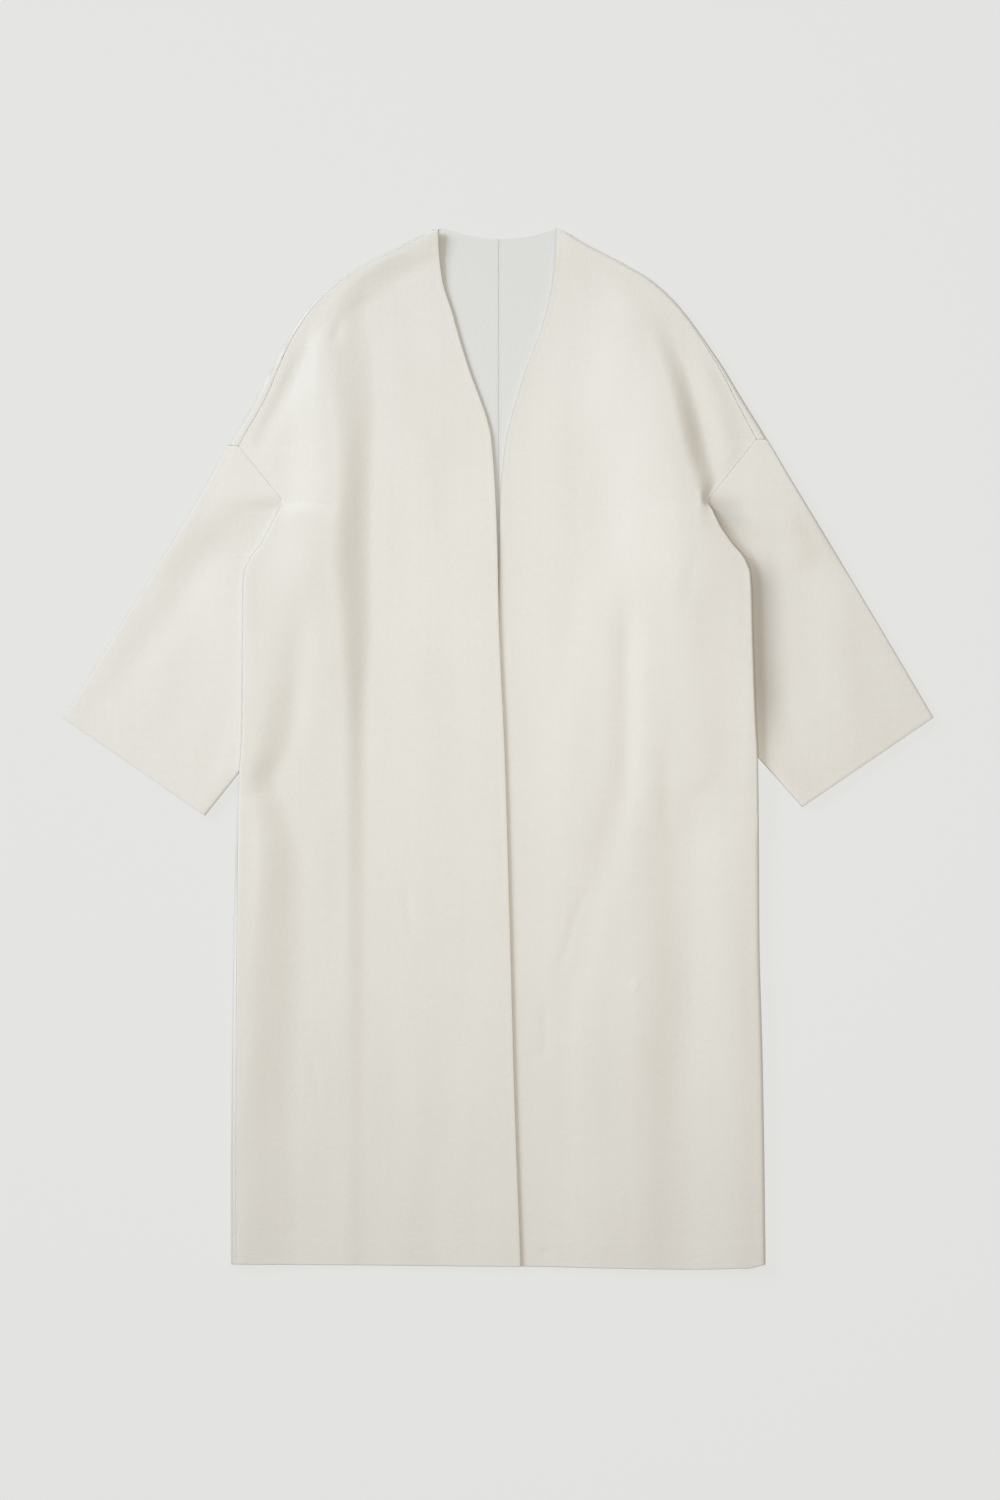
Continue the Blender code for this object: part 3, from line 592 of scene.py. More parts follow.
def front_height(cloth, side, out, y):
    """Height of a front's middle surface at distances from the middle, before its fold."""
    x = SIGNS[side] * out
    layer = 2 - ramp(y, CROSSING_Y) if side == "right" else 1
    edge_z = FLOOR + layer * PITCH + along(EDGES, "lift", y) * MM
    end, end_z = front_end(side, y)
    plateau, foot, crest, begin, over = (
        along(LIES[side], column, y) * MM for column in Lie._fields[1:])
    at_neck = ramp(y, NECK_ROLL_Y)
    begin = mix(begin, end - NECK_SLOPE, at_neck)
    over = mix(over, end, at_neck)
    swell = FLOOR + getattr(cloth, "swell_" + side)
    free = out - free_edge(side, y)
    if side == "left":
        lap = max(along(EDGES, "right", y) - along(EDGES, "left", y), 0.0) * MM
        free = free - lap - LAP_MARGIN
    from_edge = ease(free / EDGE_EASE)
    to_side = ramp(out, (begin, over))
    raised = mix(swell, plateau, ramp(out, (foot, crest)))
    height = mix(raised, end_z, to_side)
    height = height + (edge_z - swell) * (1 - from_edge) * (1 - to_side)
    relief = strips(FRONT_CREASES, x, y) * from_edge
    small = strips(SMALL_CREASES, x, y) * ease(free / CREASE_EASE)
    felt = waves(cloth, side, x, y, FRONT_WAVE) * from_edge
    relief = (relief + small) * cloth.crease_depth + felt
    return height + relief * ease((end - out) / FOLD_EASE)


# ---- sections of the panels
def arc(centre, reach, upright, level, turn, up):
    """Points round a flattened fold from its level end, up (+1) or down (-1)."""
    end = math.atan2(squarer(math.sin(turn)), squarer(math.cos(turn)))
    angle = np.linspace(0, end, ARC_STEPS)
    across = np.sin(angle)
    above = np.cos(angle)
    power = 2 / FOLD_SQUARE
    size = (np.abs(across) ** power + np.abs(above) ** power) ** (1 / power)
    return np.column_stack([centre + reach * across / size,
                            level + up * upright * (1 - above / size)])


def trimmed(path, amount):
    """A path with its far end cut back."""
    run = lengths(path)
    keep = run < run[-1] - amount - PATH_LEAST
    return np.vstack([path[keep], at_lengths(path, [run[-1] - amount])])


def level_run(start, length):
    """Cloth that runs level and inwards from the end of a fold."""
    length = max(length, 0.0)
    run = np.arange(PATH_STEP, length + PATH_STEP / 2, PATH_STEP)
    run = run * length / run[-1] if len(run) else run
    return np.column_stack([start[0] - run, np.full_like(run, start[1])])


def joined(y, low, high):
    """Opens the section at the side fold into the one that ends at the armhole seam."""
    share = ramp(y, (ARM_FOLD_Y - ARM_JOIN, ARM_FOLD_Y))
    if share == 0:
        return low
    count = max(len(low[0]), len(high[0]))
    both = []
    for path, crest in (low, high):
        total = lengths(path)[-1]
        spots = [np.linspace(0, crest, count), np.linspace(crest, total, count)[1:]]
        both.append(at_lengths(path, np.concatenate(spots)))
    path = mix(both[0], both[1], share)
    return path, lengths(path)[count - 1]


def level_part(cloth, kind, side, y, end, level_y):
    """The part of a section from where it starts to its bend, with its heights at a level."""
    front = kind == "front"
    start = free_edge(side, y) if front else SIGNS[side] * CENTRE_BACK + cloth.seam / 2
    outs = np.linspace(start, end, int(max((end - start) / PATH_STEP, LEVEL_LEAST)))
    if front:
        return np.column_stack([outs, front_height(cloth, side, outs, level_y)])
    rise = strips(BACK_CREASES, SIGNS[side] * outs, level_y) * ease((end - outs) / BACK_EASE)
    return np.column_stack([outs, FLOOR + rise * cloth.crease_depth])


def armhole_section(cloth, kind, side, y, level_y):
    """Section that ends at the armhole seam, with its heights at a level, and its crest."""
    end = armhole_x(side, level_y) - cloth.seam / 2
    path = level_part(cloth, kind, side, y, end, level_y)
    run = lengths(path)
    if kind == "back":
        return path, run[-1]
    crest = mix(side_fold(side, ARM_FOLD_Y).centre, end, armhole_share(side, level_y))
    return path, run[np.searchsorted(path[:, 0], crest) - 1]


def shoulder_section(cloth, kind, side, y):
    """Section that ends on the shoulder's roll, and its crest."""
    roll = shoulder_roll(side, y)
    if kind == "front":
        level = level_part(cloth, kind, side, y, roll.centre - roll.run, y)
        turn = math.pi - roll.seam_turn
        bend = arc(roll.centre, roll.reach, roll.rise, roll.top, turn, -1)
        rest = bend[1:] if turn > 0 else bend[:0]
    else:
        level = level_part(cloth, kind, side, y, roll.centre, y)
        closed = ramp(y, BACK_ROLL_Y)
        turn = roll.seam_turn * mix(OPEN_ROLL, 1.0, closed)
        bend = arc(roll.centre, roll.reach, roll.rise, FLOOR, turn, 1)
        rest = np.vstack([bend[1:], level_run(bend[-1], roll.run * closed)])
    return trimmed(np.vstack([level, rest]), cloth.seam / 2), lengths(level)[-1]


def folded_section(cloth, kind, side, y):
    """Section that goes round the side fold and back in under it, and its crest."""
    fold = side_fold(side, y)
    level = level_part(cloth, kind, side, y, fold.centre, y)
    if kind == "front":
        bend = arc(fold.centre, fold.reach, fold.front_up, fold.top, fold.front_turn, -1)
    else:
        bend = arc(fold.centre, fold.reach, fold.back_up, FLOOR, fold.back_turn, 1)
    under = level_run(bend[-1], fold.tuck)
    under[:, 1] = pressed(side, under[:, 0], y, under[:, 1])
    if kind == "front":
        under[:, 1] = below_sleeve(side, under[:, 0], y, under[:, 1])
    return np.vstack([level, bend[1:], under]), lengths(level)[-1]


def section(cloth, kind, side, y):
    """Section of a front or a back at one level, to its far seam, and its crest.

    The crest is the length along it where its bend starts."""
    if y >= ARM_TOP_Y[side]:
        return shoulder_section(cloth, kind, side, y)
    if y >= ARM_FOLD_Y:
        return armhole_section(cloth, kind, side, y, y)
    folded = folded_section(cloth, kind, side, y)
    if y < ARM_FOLD_Y - ARM_JOIN:
        return folded
    return joined(y, folded, armhole_section(cloth, kind, side, y, ARM_FOLD_Y))


def level_list(side, top):
    """Levels of the sections from the hem up to the top, with round rims at both ends."""
    levels = []
    y = HEM_Y + FIRST_LEVEL
    for row in LEVEL_SPACING:
        while y < min(row.until * MM, top - LAST_LEVEL):
            levels.append(y)
            y += row.step * MM
    levels = np.array(levels)
    for level in (ARM_TOP_Y[side], ARM_FOLD_Y):
        levels = levels[np.abs(levels - level) > LEVEL_CLEAR]
    corner = ARM_TOP_Y[side] + np.array(CORNER_LEVELS) * MM
    fold = ARM_FOLD_Y + np.array(FOLD_LEVELS) * MM
    rim = np.array(RIM_STEPS) * MM
    return np.sort(np.concatenate([HEM_Y + rim, levels, corner, fold, top - rim]))


def hem_shift(x, y):
    """How far a point moves along the body so that the hem has its real, uneven level."""
    spots, ups = np.array(HEM_LINE).T * MM
    at = np.clip(x, spots[0], spots[-1])
    i = np.clip(np.searchsorted(spots, at, side="right") - 1, 0, len(spots) - 2)
    return mix(ups[i], ups[i + 1], ramp(at, (spots[i], spots[i + 1]))) * ramp(y, HEM_ZONE_Y)


def neck_shift(x, y):
    """How far a point of the back moves down so that the back neckline is a shallow scoop."""
    across = np.minimum(np.abs(x - CENTRE_BACK) / NECK_HALF_WIDTH, 1.0)
    return -NECKLINE_DIP * ramp(y, BACK_NECK_Y) * (1 - across ** 2)


def point_shift(x, y):
    """How far a front's top runs up to the point where it meets the back neckline."""
    start, full = POINT_SLOPE
    height = np.clip((start - np.abs(x)) / (start - full), 0.0, POINT_MOST)
    return NECK_POINT * ramp(y, FRONT_NECK_Y) * height


# ---- shells
def rim_share(distance, half, power):
    """Share of the cloth's half thickness at a distance from its rounded edge."""
    return np.clip(1 - (1 - np.minimum(distance / half, 1)) ** 2, 0, 1) ** power


def turned_edge(cloth, distance):
    """What a turned and stitched edge adds to the outer and the inner face near it."""
    swell = np.sin(np.clip(distance / cloth.edge_turn, 0, 1) * math.pi) ** 2
    groove = hump(distance - cloth.edge_turn, EDGE_STITCH.width)
    turned = 1 - ease((distance - cloth.edge_turn) / EDGE_STITCH.fade)
    puff = cloth.puff * (EDGE_SWELL * swell - EDGE_STITCH.depth * groove)
    return puff, cloth.edge_extra * turned


def directions(points, axis, closed):
    """Directions along a grid, taken mostly from the nearer neighbour of each point."""
    steps = np.diff(points, axis=axis)
    last = np.take(steps, [-1], axis=axis)
    first = np.take(steps, [0], axis=axis)
    if closed:
        first = last = np.take(points, [0], axis=axis) - np.take(points, [-1], axis=axis)
    both = (np.concatenate([steps, last], axis=axis), np.concatenate([first, steps], axis=axis))
    return sum(step / ((step ** 2).sum(axis=2, keepdims=True) + TINY) for step in both)


def grid_normals(points, round_tube):
    """Unit normals of a grid of points, from its rows and columns."""
    normals = np.cross(directions(points, 1, round_tube), directions(points, 0, False))
    return normals / np.maximum(np.linalg.norm(normals, axis=2, keepdims=True), TINY)


def grid_area(points, round_tube):
    """Area of a grid of points."""
    if round_tube:
        points = np.concatenate([points, points[:, :1]], axis=1)
    a = points[1:, 1:] - points[:-1, :-1]
    b = points[1:, :-1] - points[:-1, 1:]
    return float(np.linalg.norm(np.cross(a, b), axis=2).sum() / 2)


def shell(name, points, flat, outer, inner, sign, round_tube, painted_shade):
    """Makes a closed shell: outer and inner faces on both sides of a grid of points.

    flat holds each point's place in the cut cloth; outer and inner hold the distances of the
    two faces, which are 0 along every open edge; the last argument holds painted shade along
    edges and a painted shadow beside the body."""
    normals = grid_normals(points, round_tube) * sign
    rows, cols = outer.shape
    edge = np.zeros((rows, cols), dtype=bool)
    edge[0] = edge[-1] = True
    if not round_tube:
        edge[:, 0] = edge[:, -1] = True
    count = int((~edge).sum())
    top = np.arange(rows * cols).reshape(rows, cols)
    under = top.copy()
    under[~edge] = rows * cols + np.arange(count)
    upper = points + normals * outer[..., None]
    lower = points - normals * inner[..., None]
    verts = np.concatenate([upper.reshape(-1, 3), lower[~edge]]) - OUTLINE_MIDDLE
    faces = []
    width = cols if round_tube else cols - 1
    for grid, way in ((top, sign), (under, -sign)):
        ahead = np.roll(grid, -1, axis=1)
        corners = (grid[:-1, :width], ahead[:-1, :width], ahead[1:, :width], grid[1:, :width])
        if way < 0:
            corners = corners[:1] + corners[:0:-1]
        faces.append(np.stack(corners, axis=2).reshape(-1, 4))
    mesh = bpy.data.meshes.new(name)
    mesh.from_pydata(verts.tolist(), [], np.concatenate(faces).tolist())
    corner = np.empty(len(mesh.loops), dtype=np.int32)
    mesh.loops.foreach_get("vertex_index", corner)
    place = np.concatenate([flat.reshape(-1, 2), flat[~edge]])
    layer = mesh.uv_layers.new(name="cut")
    layer.data.foreach_set("uv", place[corner].astype(np.float32).ravel())
    inside = np.concatenate([np.where(edge, RIM_INNER, 0.0).ravel(), np.ones(count)])
    # Painted shade in the 'turned' attribute: faces turned towards the key light are darkened, and the
    # painted edge shade and shadow passed in are added.
    facing_key_light = normals[..., 0] * KEY_LIGHT_WAY[0] + normals[..., 1] * KEY_LIGHT_WAY[1]
    bend = np.maximum(ramp(facing_key_light, KEY_FACING_SHADE), painted_shade)
    turned = np.concatenate([bend.ravel(), bend[~edge]])
    for key, values in (("inner_face", inside), ("turned", turned)):
        attribute = mesh.attributes.new(key, "FLOAT", "POINT")
        attribute.data.foreach_set("value", values.astype(np.float32))
    mesh.shade_smooth()
    mesh.validate()
    piece = bpy.data.objects.new(name, mesh)
    bpy.context.scene.collection.objects.link(piece)
    return piece


# ---- fronts and backs
# top: level of their last section      points: in a section      edge_density: added
# density of the points where it starts      outward: 1 where the outer face is up, -1 where
# it is down      free: whether it starts at a turned edge
Plan = namedtuple("Plan", "top points edge_density outward free")
PANELS = {
    "back": Plan(NECK_TOP_Y, 86, 0.3, -1, False),
    "front": Plan(NECK_END_Y, 118, 0.7, 1, True),
}


def lofted(cloth, kind, side):
    """Grid of a panel's points through its level sections, their runs and their levels."""
    panel = PANELS[kind]
    levels = level_list(side, panel.top)
    rows = []
    runs = []
    for y in levels:
        path, crest = section(cloth, kind, side, y)
        dense = ((0.0, EDGE_DENSE, panel.edge_density), (crest, *CREST_DENSE),
                 (crest + FOLD_CORNER, *CORNER_DENSE))
        where = spread(lengths(path)[-1], dense, panel.points)
        rows.append(at_lengths(path, where))
        runs.append(where)
    out, z = np.moveaxis(np.array(rows), 2, 0)
    y = np.repeat(levels[:, None], panel.points, axis=1)
    x = SIGNS[side] * out
    neck = neck_shift(x, y) if kind == "back" else point_shift(x, y)
    return np.stack([x, y + hem_shift(x, y) + neck, z], axis=2), np.array(runs), y


def make_panel(cloth, kind, side):
    """Makes a front or a back with its thickness, turned edges and hem."""
    panel = PANELS[kind]
    points, runs, y = lofted(cloth, kind, side)
    half = cloth.thickness / 2
    total = runs[:, -1:]
    from_side = np.minimum(runs, total - runs)
    up_hem = y - HEM_Y
    rim = rim_share(from_side, half, SEAM_ROUND)
    if panel.free:
        rim = np.where(runs < total / 2, rim_share(from_side, half, EDGE_ROUND), rim)
    rim = np.minimum(rim, rim_share(np.minimum(up_hem, panel.top - y), half, EDGE_ROUND))
    turned_hem = 1 - ease((up_hem - cloth.hem_turn) / HEM_STITCH.fade)
    groove = hump(up_hem - cloth.hem_turn - HEM_STITCH_UP, HEM_STITCH.width)
    outer = half + cloth.hem_ridge * turned_hem - HEM_STITCH.depth * cloth.puff * groove
    inner = half + cloth.hem_extra * turned_hem
    if panel.free:
        stitched, extra = turned_edge(cloth, runs)
        outer = outer + stitched
        inner = inner + extra * (1 - turned_hem)
    name = kind + "_" + side
    # Painted shade along the free edge or the centre seam.
    painted_shade = EDGE_PAINTED_SHADE[name] * (1 - ease(runs / EDGE_SHADE_WIDTH))
    flat = np.stack([runs, up_hem], axis=2)
    piece = shell(name + "_cloth", points, flat, outer * rim, inner * rim,
                  SIGNS[side] * panel.outward, False, painted_shade)
    return piece, grid_area(points, False), (float(total.max()), float(panel.top - HEM_Y))


# ---- sleeves
def sleeve_layers(side, out, y):
    """Heights of the middle of a sleeve's lower and upper layer at points of its plan."""
    level = np.clip(y, SLEEVE_FOOT_Y, ARM_TOP_Y[side])
    edge = np.where(level < ARM_FOLD_Y, folded_edge(side, level), armhole_x(side, level))
    beyond = out - edge
    settle = 1 - ease(beyond / (ARMS[side].settle * MM))
    low = FLOOR + (LAYERS_AT_FOLD[2] - FLOOR) * ramp(level, HEAD_LIFT_Y) * settle
    head = mix(LAYERS_AT_FOLD[3], armhole_z(side, level), ramp(level, HEAD_SHOWS_Y))
    above = armhole_z(side, np.maximum(level, ARM_FOLD_Y)) + SLEEVE_PROUD
    open_height = mix(FLOOR + SLEEVE_OPEN, above, ramp(level, NEAR_HEAD_Y))
    high = mix(head, open_height, ease(beyond / SLEEVE_OPENING))
    high = high - ARMS[side].hollow * MM * within(beyond, HOLLOW_OUT) * within(y, HOLLOW_Y)
    low = np.minimum(low, high - LAYER_STEP)
    return pressed(side, out, y, low), pressed(side, out, y, high)


def painted_shadow_beside_body(side, out, y):
    """Painted shadow on a sleeve close beside the body's fold: how dark it is at each point."""
    if ARMS[side].hollow == 0:
        return np.zeros_like(out)
    along_body = within(y, PAINTED_SHADOW_Y) + hump(y - PAINTED_SHADOW_CORNER_Y, PAINTED_SHADOW_CORNER)
    near = ramp(out - folded_edge(side, y), PAINTED_SHADOW_OUT)
    return PAINTED_SHADOW_DEPTH * near * np.minimum(along_body, 1)


def plain_plan(side, s, t):
    """Points at lengths s in from a sleeve's upper edge, and the sleeve's width there.

    t is the share of the way from the sleeve's head to its cuff."""
    arm = ARMS[side]
    top = mix(np.array(arm.head), np.array(arm.cuff_top), t) * MM
    under = mix(np.array(arm.under), np.array(arm.cuff_under), t) * MM
    across = under - top
    way = across / np.linalg.norm(across)
    bulge = (arm.head_out * (1 - t) + arm.top_bow * 4 * t * (1 - t)) * MM
    width = np.linalg.norm(across) + bulge
    share = s / width
    off = arm.head_bow * MM * (1 - t) ** 2 * 4 * share * (1 - share)
    spots = top - way * bulge + np.outer(s, way)
    return spots - np.outer(off, (way[1], -way[0])), width


def sleeve_plan(cloth, side, s, t):
    """The same points, with the sleeve's head drawn to the armhole seam."""
    corner = ARM_TOP_Y[side] - cloth.seam
    outline = along(SHOULDERS, side, corner) * MM
    head = plain_plan(side, s, 0.0)[0]
    first = plain_plan(side, np.zeros(1), 0.0)[0][0, 1]
    y = np.minimum(head[:, 1], corner)
    round_corner = (outline - armhole_x(side, corner)) / (first - corner)
    x = armhole_x(side, y) + cloth.seam + round_corner * (head[:, 1] - y)
    seen = ramp(head[:, 1], HEAD_SEAM_Y) * (1 - ease(t / HEAD_SEAM_END))
    shift = np.column_stack([x, y]) - head
    return plain_plan(side, s, t)[0] + shift * seen[:, None]


def edge_reach(cloth, side, s, t, usual, share):
    """Reach of a sleeve's rolled edge: by its height, and by a share the usual one."""
    low, high = sleeve_layers(side, *sleeve_plan(cloth, side, np.array([s]), t)[0])
    return mix(SLEEVE_ROLL * (high - low), usual, share)


def sleeve_ring(cloth, side, t):
    """One closed section of a sleeve, and the painted shadow at its points."""
    width = plain_plan(side, np.zeros(1), t)[1]
    reaches = (edge_reach(cloth, side, 0.0, t, ROLL_REACH, ramp(t, TOP_ROUND)),
               edge_reach(cloth, side, width, t, UNDER_REACH, ramp(t, UNDER_ROUND)))
    ends = [FLOOR + reach for reach in reaches]
    s = np.linspace(ends[0], width - ends[1], SLEEVE_RUN + 1)
    spots = sleeve_plan(cloth, side, s, t)
    out, y = spots.T
    low, high = sleeve_layers(side, out, y)
    relief = strips(SLEEVE_CREASES[side], SIGNS[side] * out, y)
    relief += waves(cloth, side, out, y, SLEEVE_WAVE)
    for distance in (s - ends[0], width - ends[1] - s, out - folded_edge(side, y)):
        relief *= ease(distance / SLEEVE_EASE)
    high = high + relief * cloth.crease_depth
    bends = []
    for k, begin in ((-1, 0.0), (0, math.pi)):
        turn = begin + math.pi * np.arange(1, SLEEVE_END) / SLEEVE_END
        place = sleeve_plan(cloth, side, s[k] + reaches[k] * squarer(np.sin(turn)), t)
        height = (low[k] + high[k]) / 2 + (high[k] - low[k]) / 2 * squarer(np.cos(turn))
        bends.append(np.column_stack([place, height]))
    upper = np.column_stack([spots, high])
    lower = np.column_stack([spots, low])
    ring = np.vstack([upper, bends[0], lower[::-1], bends[1]])
    return ring, np.concatenate([painted_shadow_beside_body(side, out, y), np.zeros(len(ring) - len(s))])


def make_sleeve(cloth, kind, side):
    """Makes a sleeve as one round shell, open at its head and its cuff."""
    arm = ARMS[side]
    half = cloth.thickness / 2
    reach = math.dist(arm.head, arm.cuff_top) * MM
    rim = np.array(RIM_STEPS) * MM / reach
    shares = np.linspace(0, 1, SLEEVE_ROWS)[1:-1] ** SLEEVE_ROWS_POWER
    shares = np.concatenate([rim, shares[shares > SLEEVE_FIRST_ROW], 1 - rim[::-1]])
    rings, painted_shade = zip(*(sleeve_ring(cloth, side, t) for t in shares))
    points = np.array(rings)
    points[..., 0] *= SIGNS[side]
    from_head = np.repeat((shares * reach)[:, None], points.shape[1], axis=1)
    from_cuff = reach - from_head
    rim = np.minimum(rim_share(from_head, half, SEAM_ROUND),
                     rim_share(from_cuff, half, EDGE_ROUND))
    stitched, extra = turned_edge(cloth, from_cuff)
    closed = np.concatenate([points, points[:, :1]], axis=1)
    girth = np.linalg.norm(np.diff(closed, axis=1), axis=2)
    flat = np.stack([from_cuff, np.cumsum(girth, axis=1) - girth], axis=2)
    piece = shell(kind + "_" + side + "_cloth", points, flat, (half + stitched) * rim,
                  (half + extra) * rim, SIGNS[side], True, np.array(painted_shade))
    return piece, grid_area(points, True), (float(girth.sum(axis=1).max()), float(reach))


# ---- materials
def set_inputs(tree, node, inputs):
    """Sets a node's inputs; one that is given another node's output is linked to it."""
    for key, value in inputs.items():
        if isinstance(value, bpy.types.NodeSocket):
            tree.links.new(value, node.inputs[key])
        else:
            node.inputs[key].default_value = value


def add_node(tree, kind, output, inputs=None, **settings):
    """Adds a node and hands back one of its outputs."""
    node = tree.nodes.new("ShaderNode" + kind)
    for key, value in settings.items():
        setattr(node, key, value)
    set_inputs(tree, node, inputs or {})
    return node.outputs[output]


def set_shader(material, inputs):
    set_inputs(material.node_tree, material.node_tree.nodes["Principled BSDF"], inputs)


def new_material(name):
    """A material, a maker of its nodes and one of its colours between two others."""
    material = bpy.data.materials.new(name)
    material.use_nodes = True
    add = partial(add_node, material.node_tree)

    def blend(factor, a, b):
        return add("Mix", "Result", {"Factor": factor, "A": a, "B": b}, data_type="RGBA")

    return material, add, blend


def wool_material(finish, name, seed):
    """Felted wool: mottled off-white, a cooler inner face that is partly painted shade, painted shade
    from the 'turned' attribute, soft sheen and a fine fibre bump.
    """
    material, add, blend = new_material(name)
    place = add("Mapping", "Vector", {"Vector": add("TexCoord", "Object"),
                                      "Location": (seed, 0.37 * seed, 0.0)})

    def cloud(scale, detail, rough, stretch=(1, 1, 1)):
        """Cloudy noise on the piece's own coordinates; a stretch below 1 draws it out."""
        longer = add("Mapping", "Vector", {"Vector": place, "Scale": stretch})
        return add("TexNoise", "Fac", {"Vector": longer, "Scale": scale, "Detail": detail,
                                       "Roughness": rough})

    slow = cloud(9.0, 3.0, 0.5)
    felt = cloud(240.0, 4.0, 0.6)
    fibre = cloud(1500.0, 3.0, 0.65)
    slub = cloud(420.0, 2.0, 0.5, (0.05, 1, 1))
    grain = cloud(170.0, 2.0, 0.5, (1, 0.03, 1))
    mottling = fibre
    for part, weight in ((felt, 0.6), (slub, 0.28), (grain, 0.28), (slow, 0.45)):
        mottling = add("Math", "Value", {0: part, 1: weight, 2: mottling},
                       operation="MULTIPLY_ADD")
    mottling = add("MapRange", "Result",
                   {"Value": mottling, "From Min": 0.98, "From Max": 1.63})
    outer = blend(mottling, (*finish.shade, 1), (*finish.wool, 1))
    # The inner face's cooler colour is partly painted shade.
    face = add("Attribute", "Fac", attribute_name="inner_face")
    both = blend(face, outer, (*finish.inner, 1))
    # Painted shade: the 'turned' attribute darkens the colour, by up to the finish's painted shade
    # strength.
    bend = add("Attribute", "Fac", attribute_name="turned")
    deeper = add("MapRange", "Result",
                 {"Value": bend, "To Min": 1.0, "To Max": 1.0 - finish.painted_shade_strength})
    folds = add("VectorMath", "Vector", {0: both, "Scale": deeper}, operation="SCALE")
    coarse = add("Bump", "Normal", {"Height": felt, "Strength": 0.35, "Distance": 0.0006})
    fine = add("Bump", "Normal", {"Height": fibre, "Strength": 0.5, "Distance": 0.00022,
                                  "Normal": coarse})
    set_shader(material, {
        "Base Color": folds, "Roughness": 0.92, "Specular IOR Level": 0.15,
        "Sheen Weight": finish.sheen, "Sheen Roughness": 0.5,
        "Sheen Tint": (1.0, 0.98, 0.94, 1.0), "Normal": fine})
    return material


def floor_material(stage):
    """Plain pale floor, partly lit from within so that it stays even."""
    material, add, blend = new_material("pale_floor")
    grain = add("TexNoise", "Fac", {"Vector": add("TexCoord", "Object"), "Scale": 60.0})
    darker, lighter = ((*[tone * (1 - stage.floor_glow) * share for tone in stage.floor], 1)
                       for share in (0.98, 1.02))
    set_shader(material, {
        "Base Color": blend(grain, darker, lighter), "Roughness": 0.95,
        "Specular IOR Level": 0.0, "Emission Color": (*stage.floor, 1),
        "Emission Strength": stage.floor_glow})
    return material


# ---- stage
FLOOR_SIZE = 8.0
FLOOR_TOP = -0.0004  # just clear of the cloth
VIEW_PLACE = (0.0021, -0.0014)
VIEW_END = 50.0
SENSOR = 36.0  # width of the camera's sensor, millimetres
ROOM_TINT = (1.0, 0.906, 0.813, 1)
Light = namedtuple("Light", "name place aim size tint power")
LIGHTS = (
    Light("key_light", (-4.12, 2.72, 2.20), (0, 0.52, 0), 2.05, (0.77, 0.87, 1.0), "key"),
    Light("top_light", (0.05, 0.05, 1.5), (0.05, 0.05, 0), 0.6, (1.0, 0.94, 0.85), "fill"),
)


# ---- operators
def make_pair(context, kind, make, seed):
    """Makes a pair of like pieces: cloth with its cut as UVs, wool and body; hides the solid each
    stands for.
    """
    scene = context.scene
    for side, sign in SIGNS.items():
        node = kind + "_" + side
        piece, area, (width, length) = make(scene.cardigan_cloth, kind, side)
        wool = wool_material(scene.cardigan_finish, node + "_cloth_wool", seed + sign)
        piece.data.materials.append(wool)
        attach(piece, "root")
        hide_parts(node)
        min(area, width * length)
    return {"FINISHED"}


class CARDIGAN_OT_stage(bpy.types.Operator):
    """Lays the pale floor, sets the soft lights and places the camera straight above"""
    bl_idname = "cardigan.stage"
    bl_label = "Stage"

    def execute(self, context):
        stage = context.scene.cardigan_stage
        bpy.ops.object.select_all(action="DESELECT")
        bpy.ops.mesh.primitive_plane_add(size=FLOOR_SIZE, location=(0, 0, FLOOR_TOP))
        floor = context.object
        floor.name = "pale_floor"
        floor.data.materials.append(floor_material(stage))
        for light in LIGHTS:
            bpy.ops.object.light_add(type="AREA", location=light.place)
            lamp = context.object
            lamp.name = light.name
            lamp.data.size = light.size
            lamp.data.energy = getattr(stage, light.power)
            lamp.data.color = light.tint
            way = Vector(light.aim) - Vector(light.place)
            lamp.rotation_euler = way.to_track_quat("-Z", "Y").to_euler()
        world = bpy.data.worlds.new("soft_room")
        world.use_nodes = True
        room = world.node_tree.nodes["Background"]
        room.inputs["Color"].default_value = ROOM_TINT
        room.inputs["Strength"].default_value = stage.room
        context.scene.world = world
        away = stage.lens * stage.view_height / SENSOR
        bpy.ops.object.camera_add(location=(*VIEW_PLACE, away), rotation=(0, 0, 0))
        camera = context.object
        camera.name = "view_from_above"
        camera.data.lens = stage.lens
        camera.data.sensor_width = SENSOR
        camera.data.clip_end = VIEW_END
        context.scene.camera = camera
        context.scene.view_settings.view_transform = "Standard"
        return {"FINISHED"}


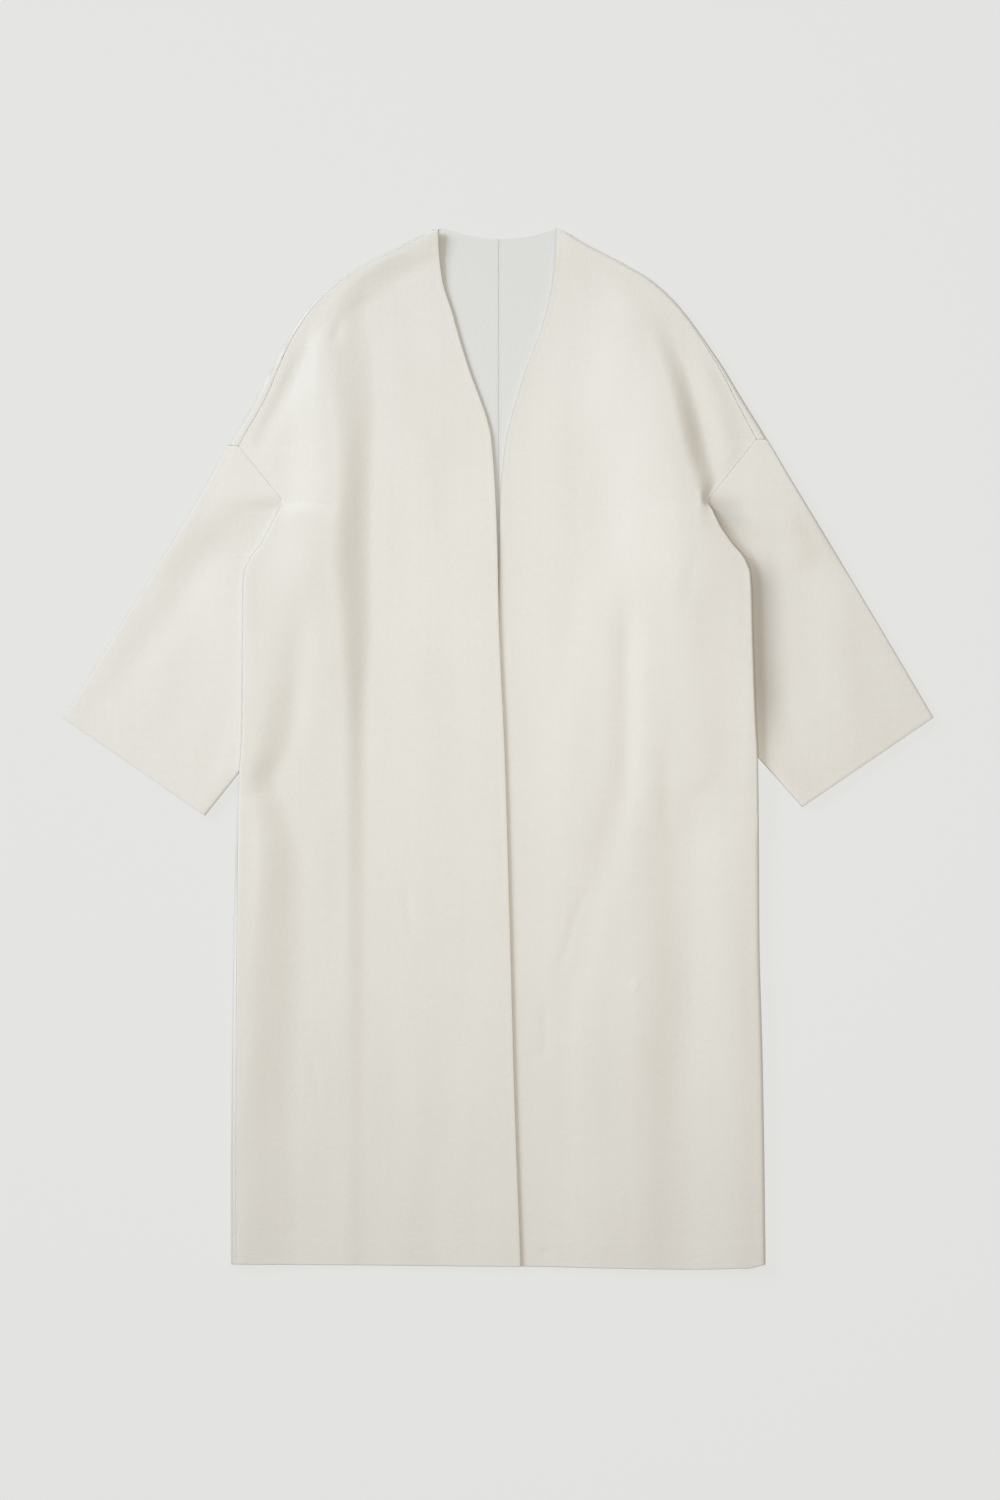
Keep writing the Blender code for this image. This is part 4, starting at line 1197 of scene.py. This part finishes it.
class CARDIGAN_OT_backs(bpy.types.Operator):
    """Makes the two back panels, joined at the centre back"""
    bl_idname = "cardigan.backs"
    bl_label = "Backs"

    def execute(self, context):
        return make_pair(context, "back", make_panel, 1.0)


class CARDIGAN_OT_sleeves(bpy.types.Operator):
    """Makes the two wide sleeves, flat and open at the cuffs"""
    bl_idname = "cardigan.sleeves"
    bl_label = "Sleeves"

    def execute(self, context):
        return make_pair(context, "sleeve", make_sleeve, 4.0)


class CARDIGAN_OT_fronts(bpy.types.Operator):
    """Makes the two fronts, the wearer's right one lapped over the left one"""
    bl_idname = "cardigan.fronts"
    bl_label = "Fronts"

    def execute(self, context):
        return make_pair(context, "front", make_panel, 7.0)


class CARDIGAN_PT_panel(bpy.types.Panel):
    """Lists the steps in the 3D view's sidebar"""
    bl_idname = "CARDIGAN_PT_panel"
    bl_label = "Wool Cardigan"
    bl_space_type = "VIEW_3D"
    bl_region_type = "UI"
    bl_category = "Cardigan"

    def draw(self, context):
        for step in STEPS:
            self.layout.operator(step.bl_idname)
        for group in GROUPS:
            settings = getattr(context.scene, group)
            box = self.layout.box()
            for key in settings.bl_rna.properties.keys():
                if key not in ("rna_type", "name"):
                    box.prop(settings, key)


STEPS = (CARDIGAN_OT_stage, CARDIGAN_OT_backs, CARDIGAN_OT_sleeves, CARDIGAN_OT_fronts)
GROUPS = {"cardigan_cloth": CardiganCloth, "cardigan_finish": CardiganFinish,
          "cardigan_stage": CardiganStage}


def register():
    for group in GROUPS.values():
        bpy.utils.register_class(group)
    for name, group in GROUPS.items():
        setattr(bpy.types.Scene, name, PointerProperty(type=group))
    for step in STEPS + (CARDIGAN_PT_panel,):
        bpy.utils.register_class(step)


def unregister():
    for step in reversed(STEPS + (CARDIGAN_PT_panel,)):
        bpy.utils.unregister_class(step)
    for name, group in GROUPS.items():
        delattr(bpy.types.Scene, name)
        bpy.utils.unregister_class(group)


def main():
    register()
    bpy.ops.cardigan.stage()
    bpy.ops.cardigan.backs()
    bpy.ops.cardigan.sleeves()
    bpy.ops.cardigan.fronts()


if __name__ == "__main__":
    main()
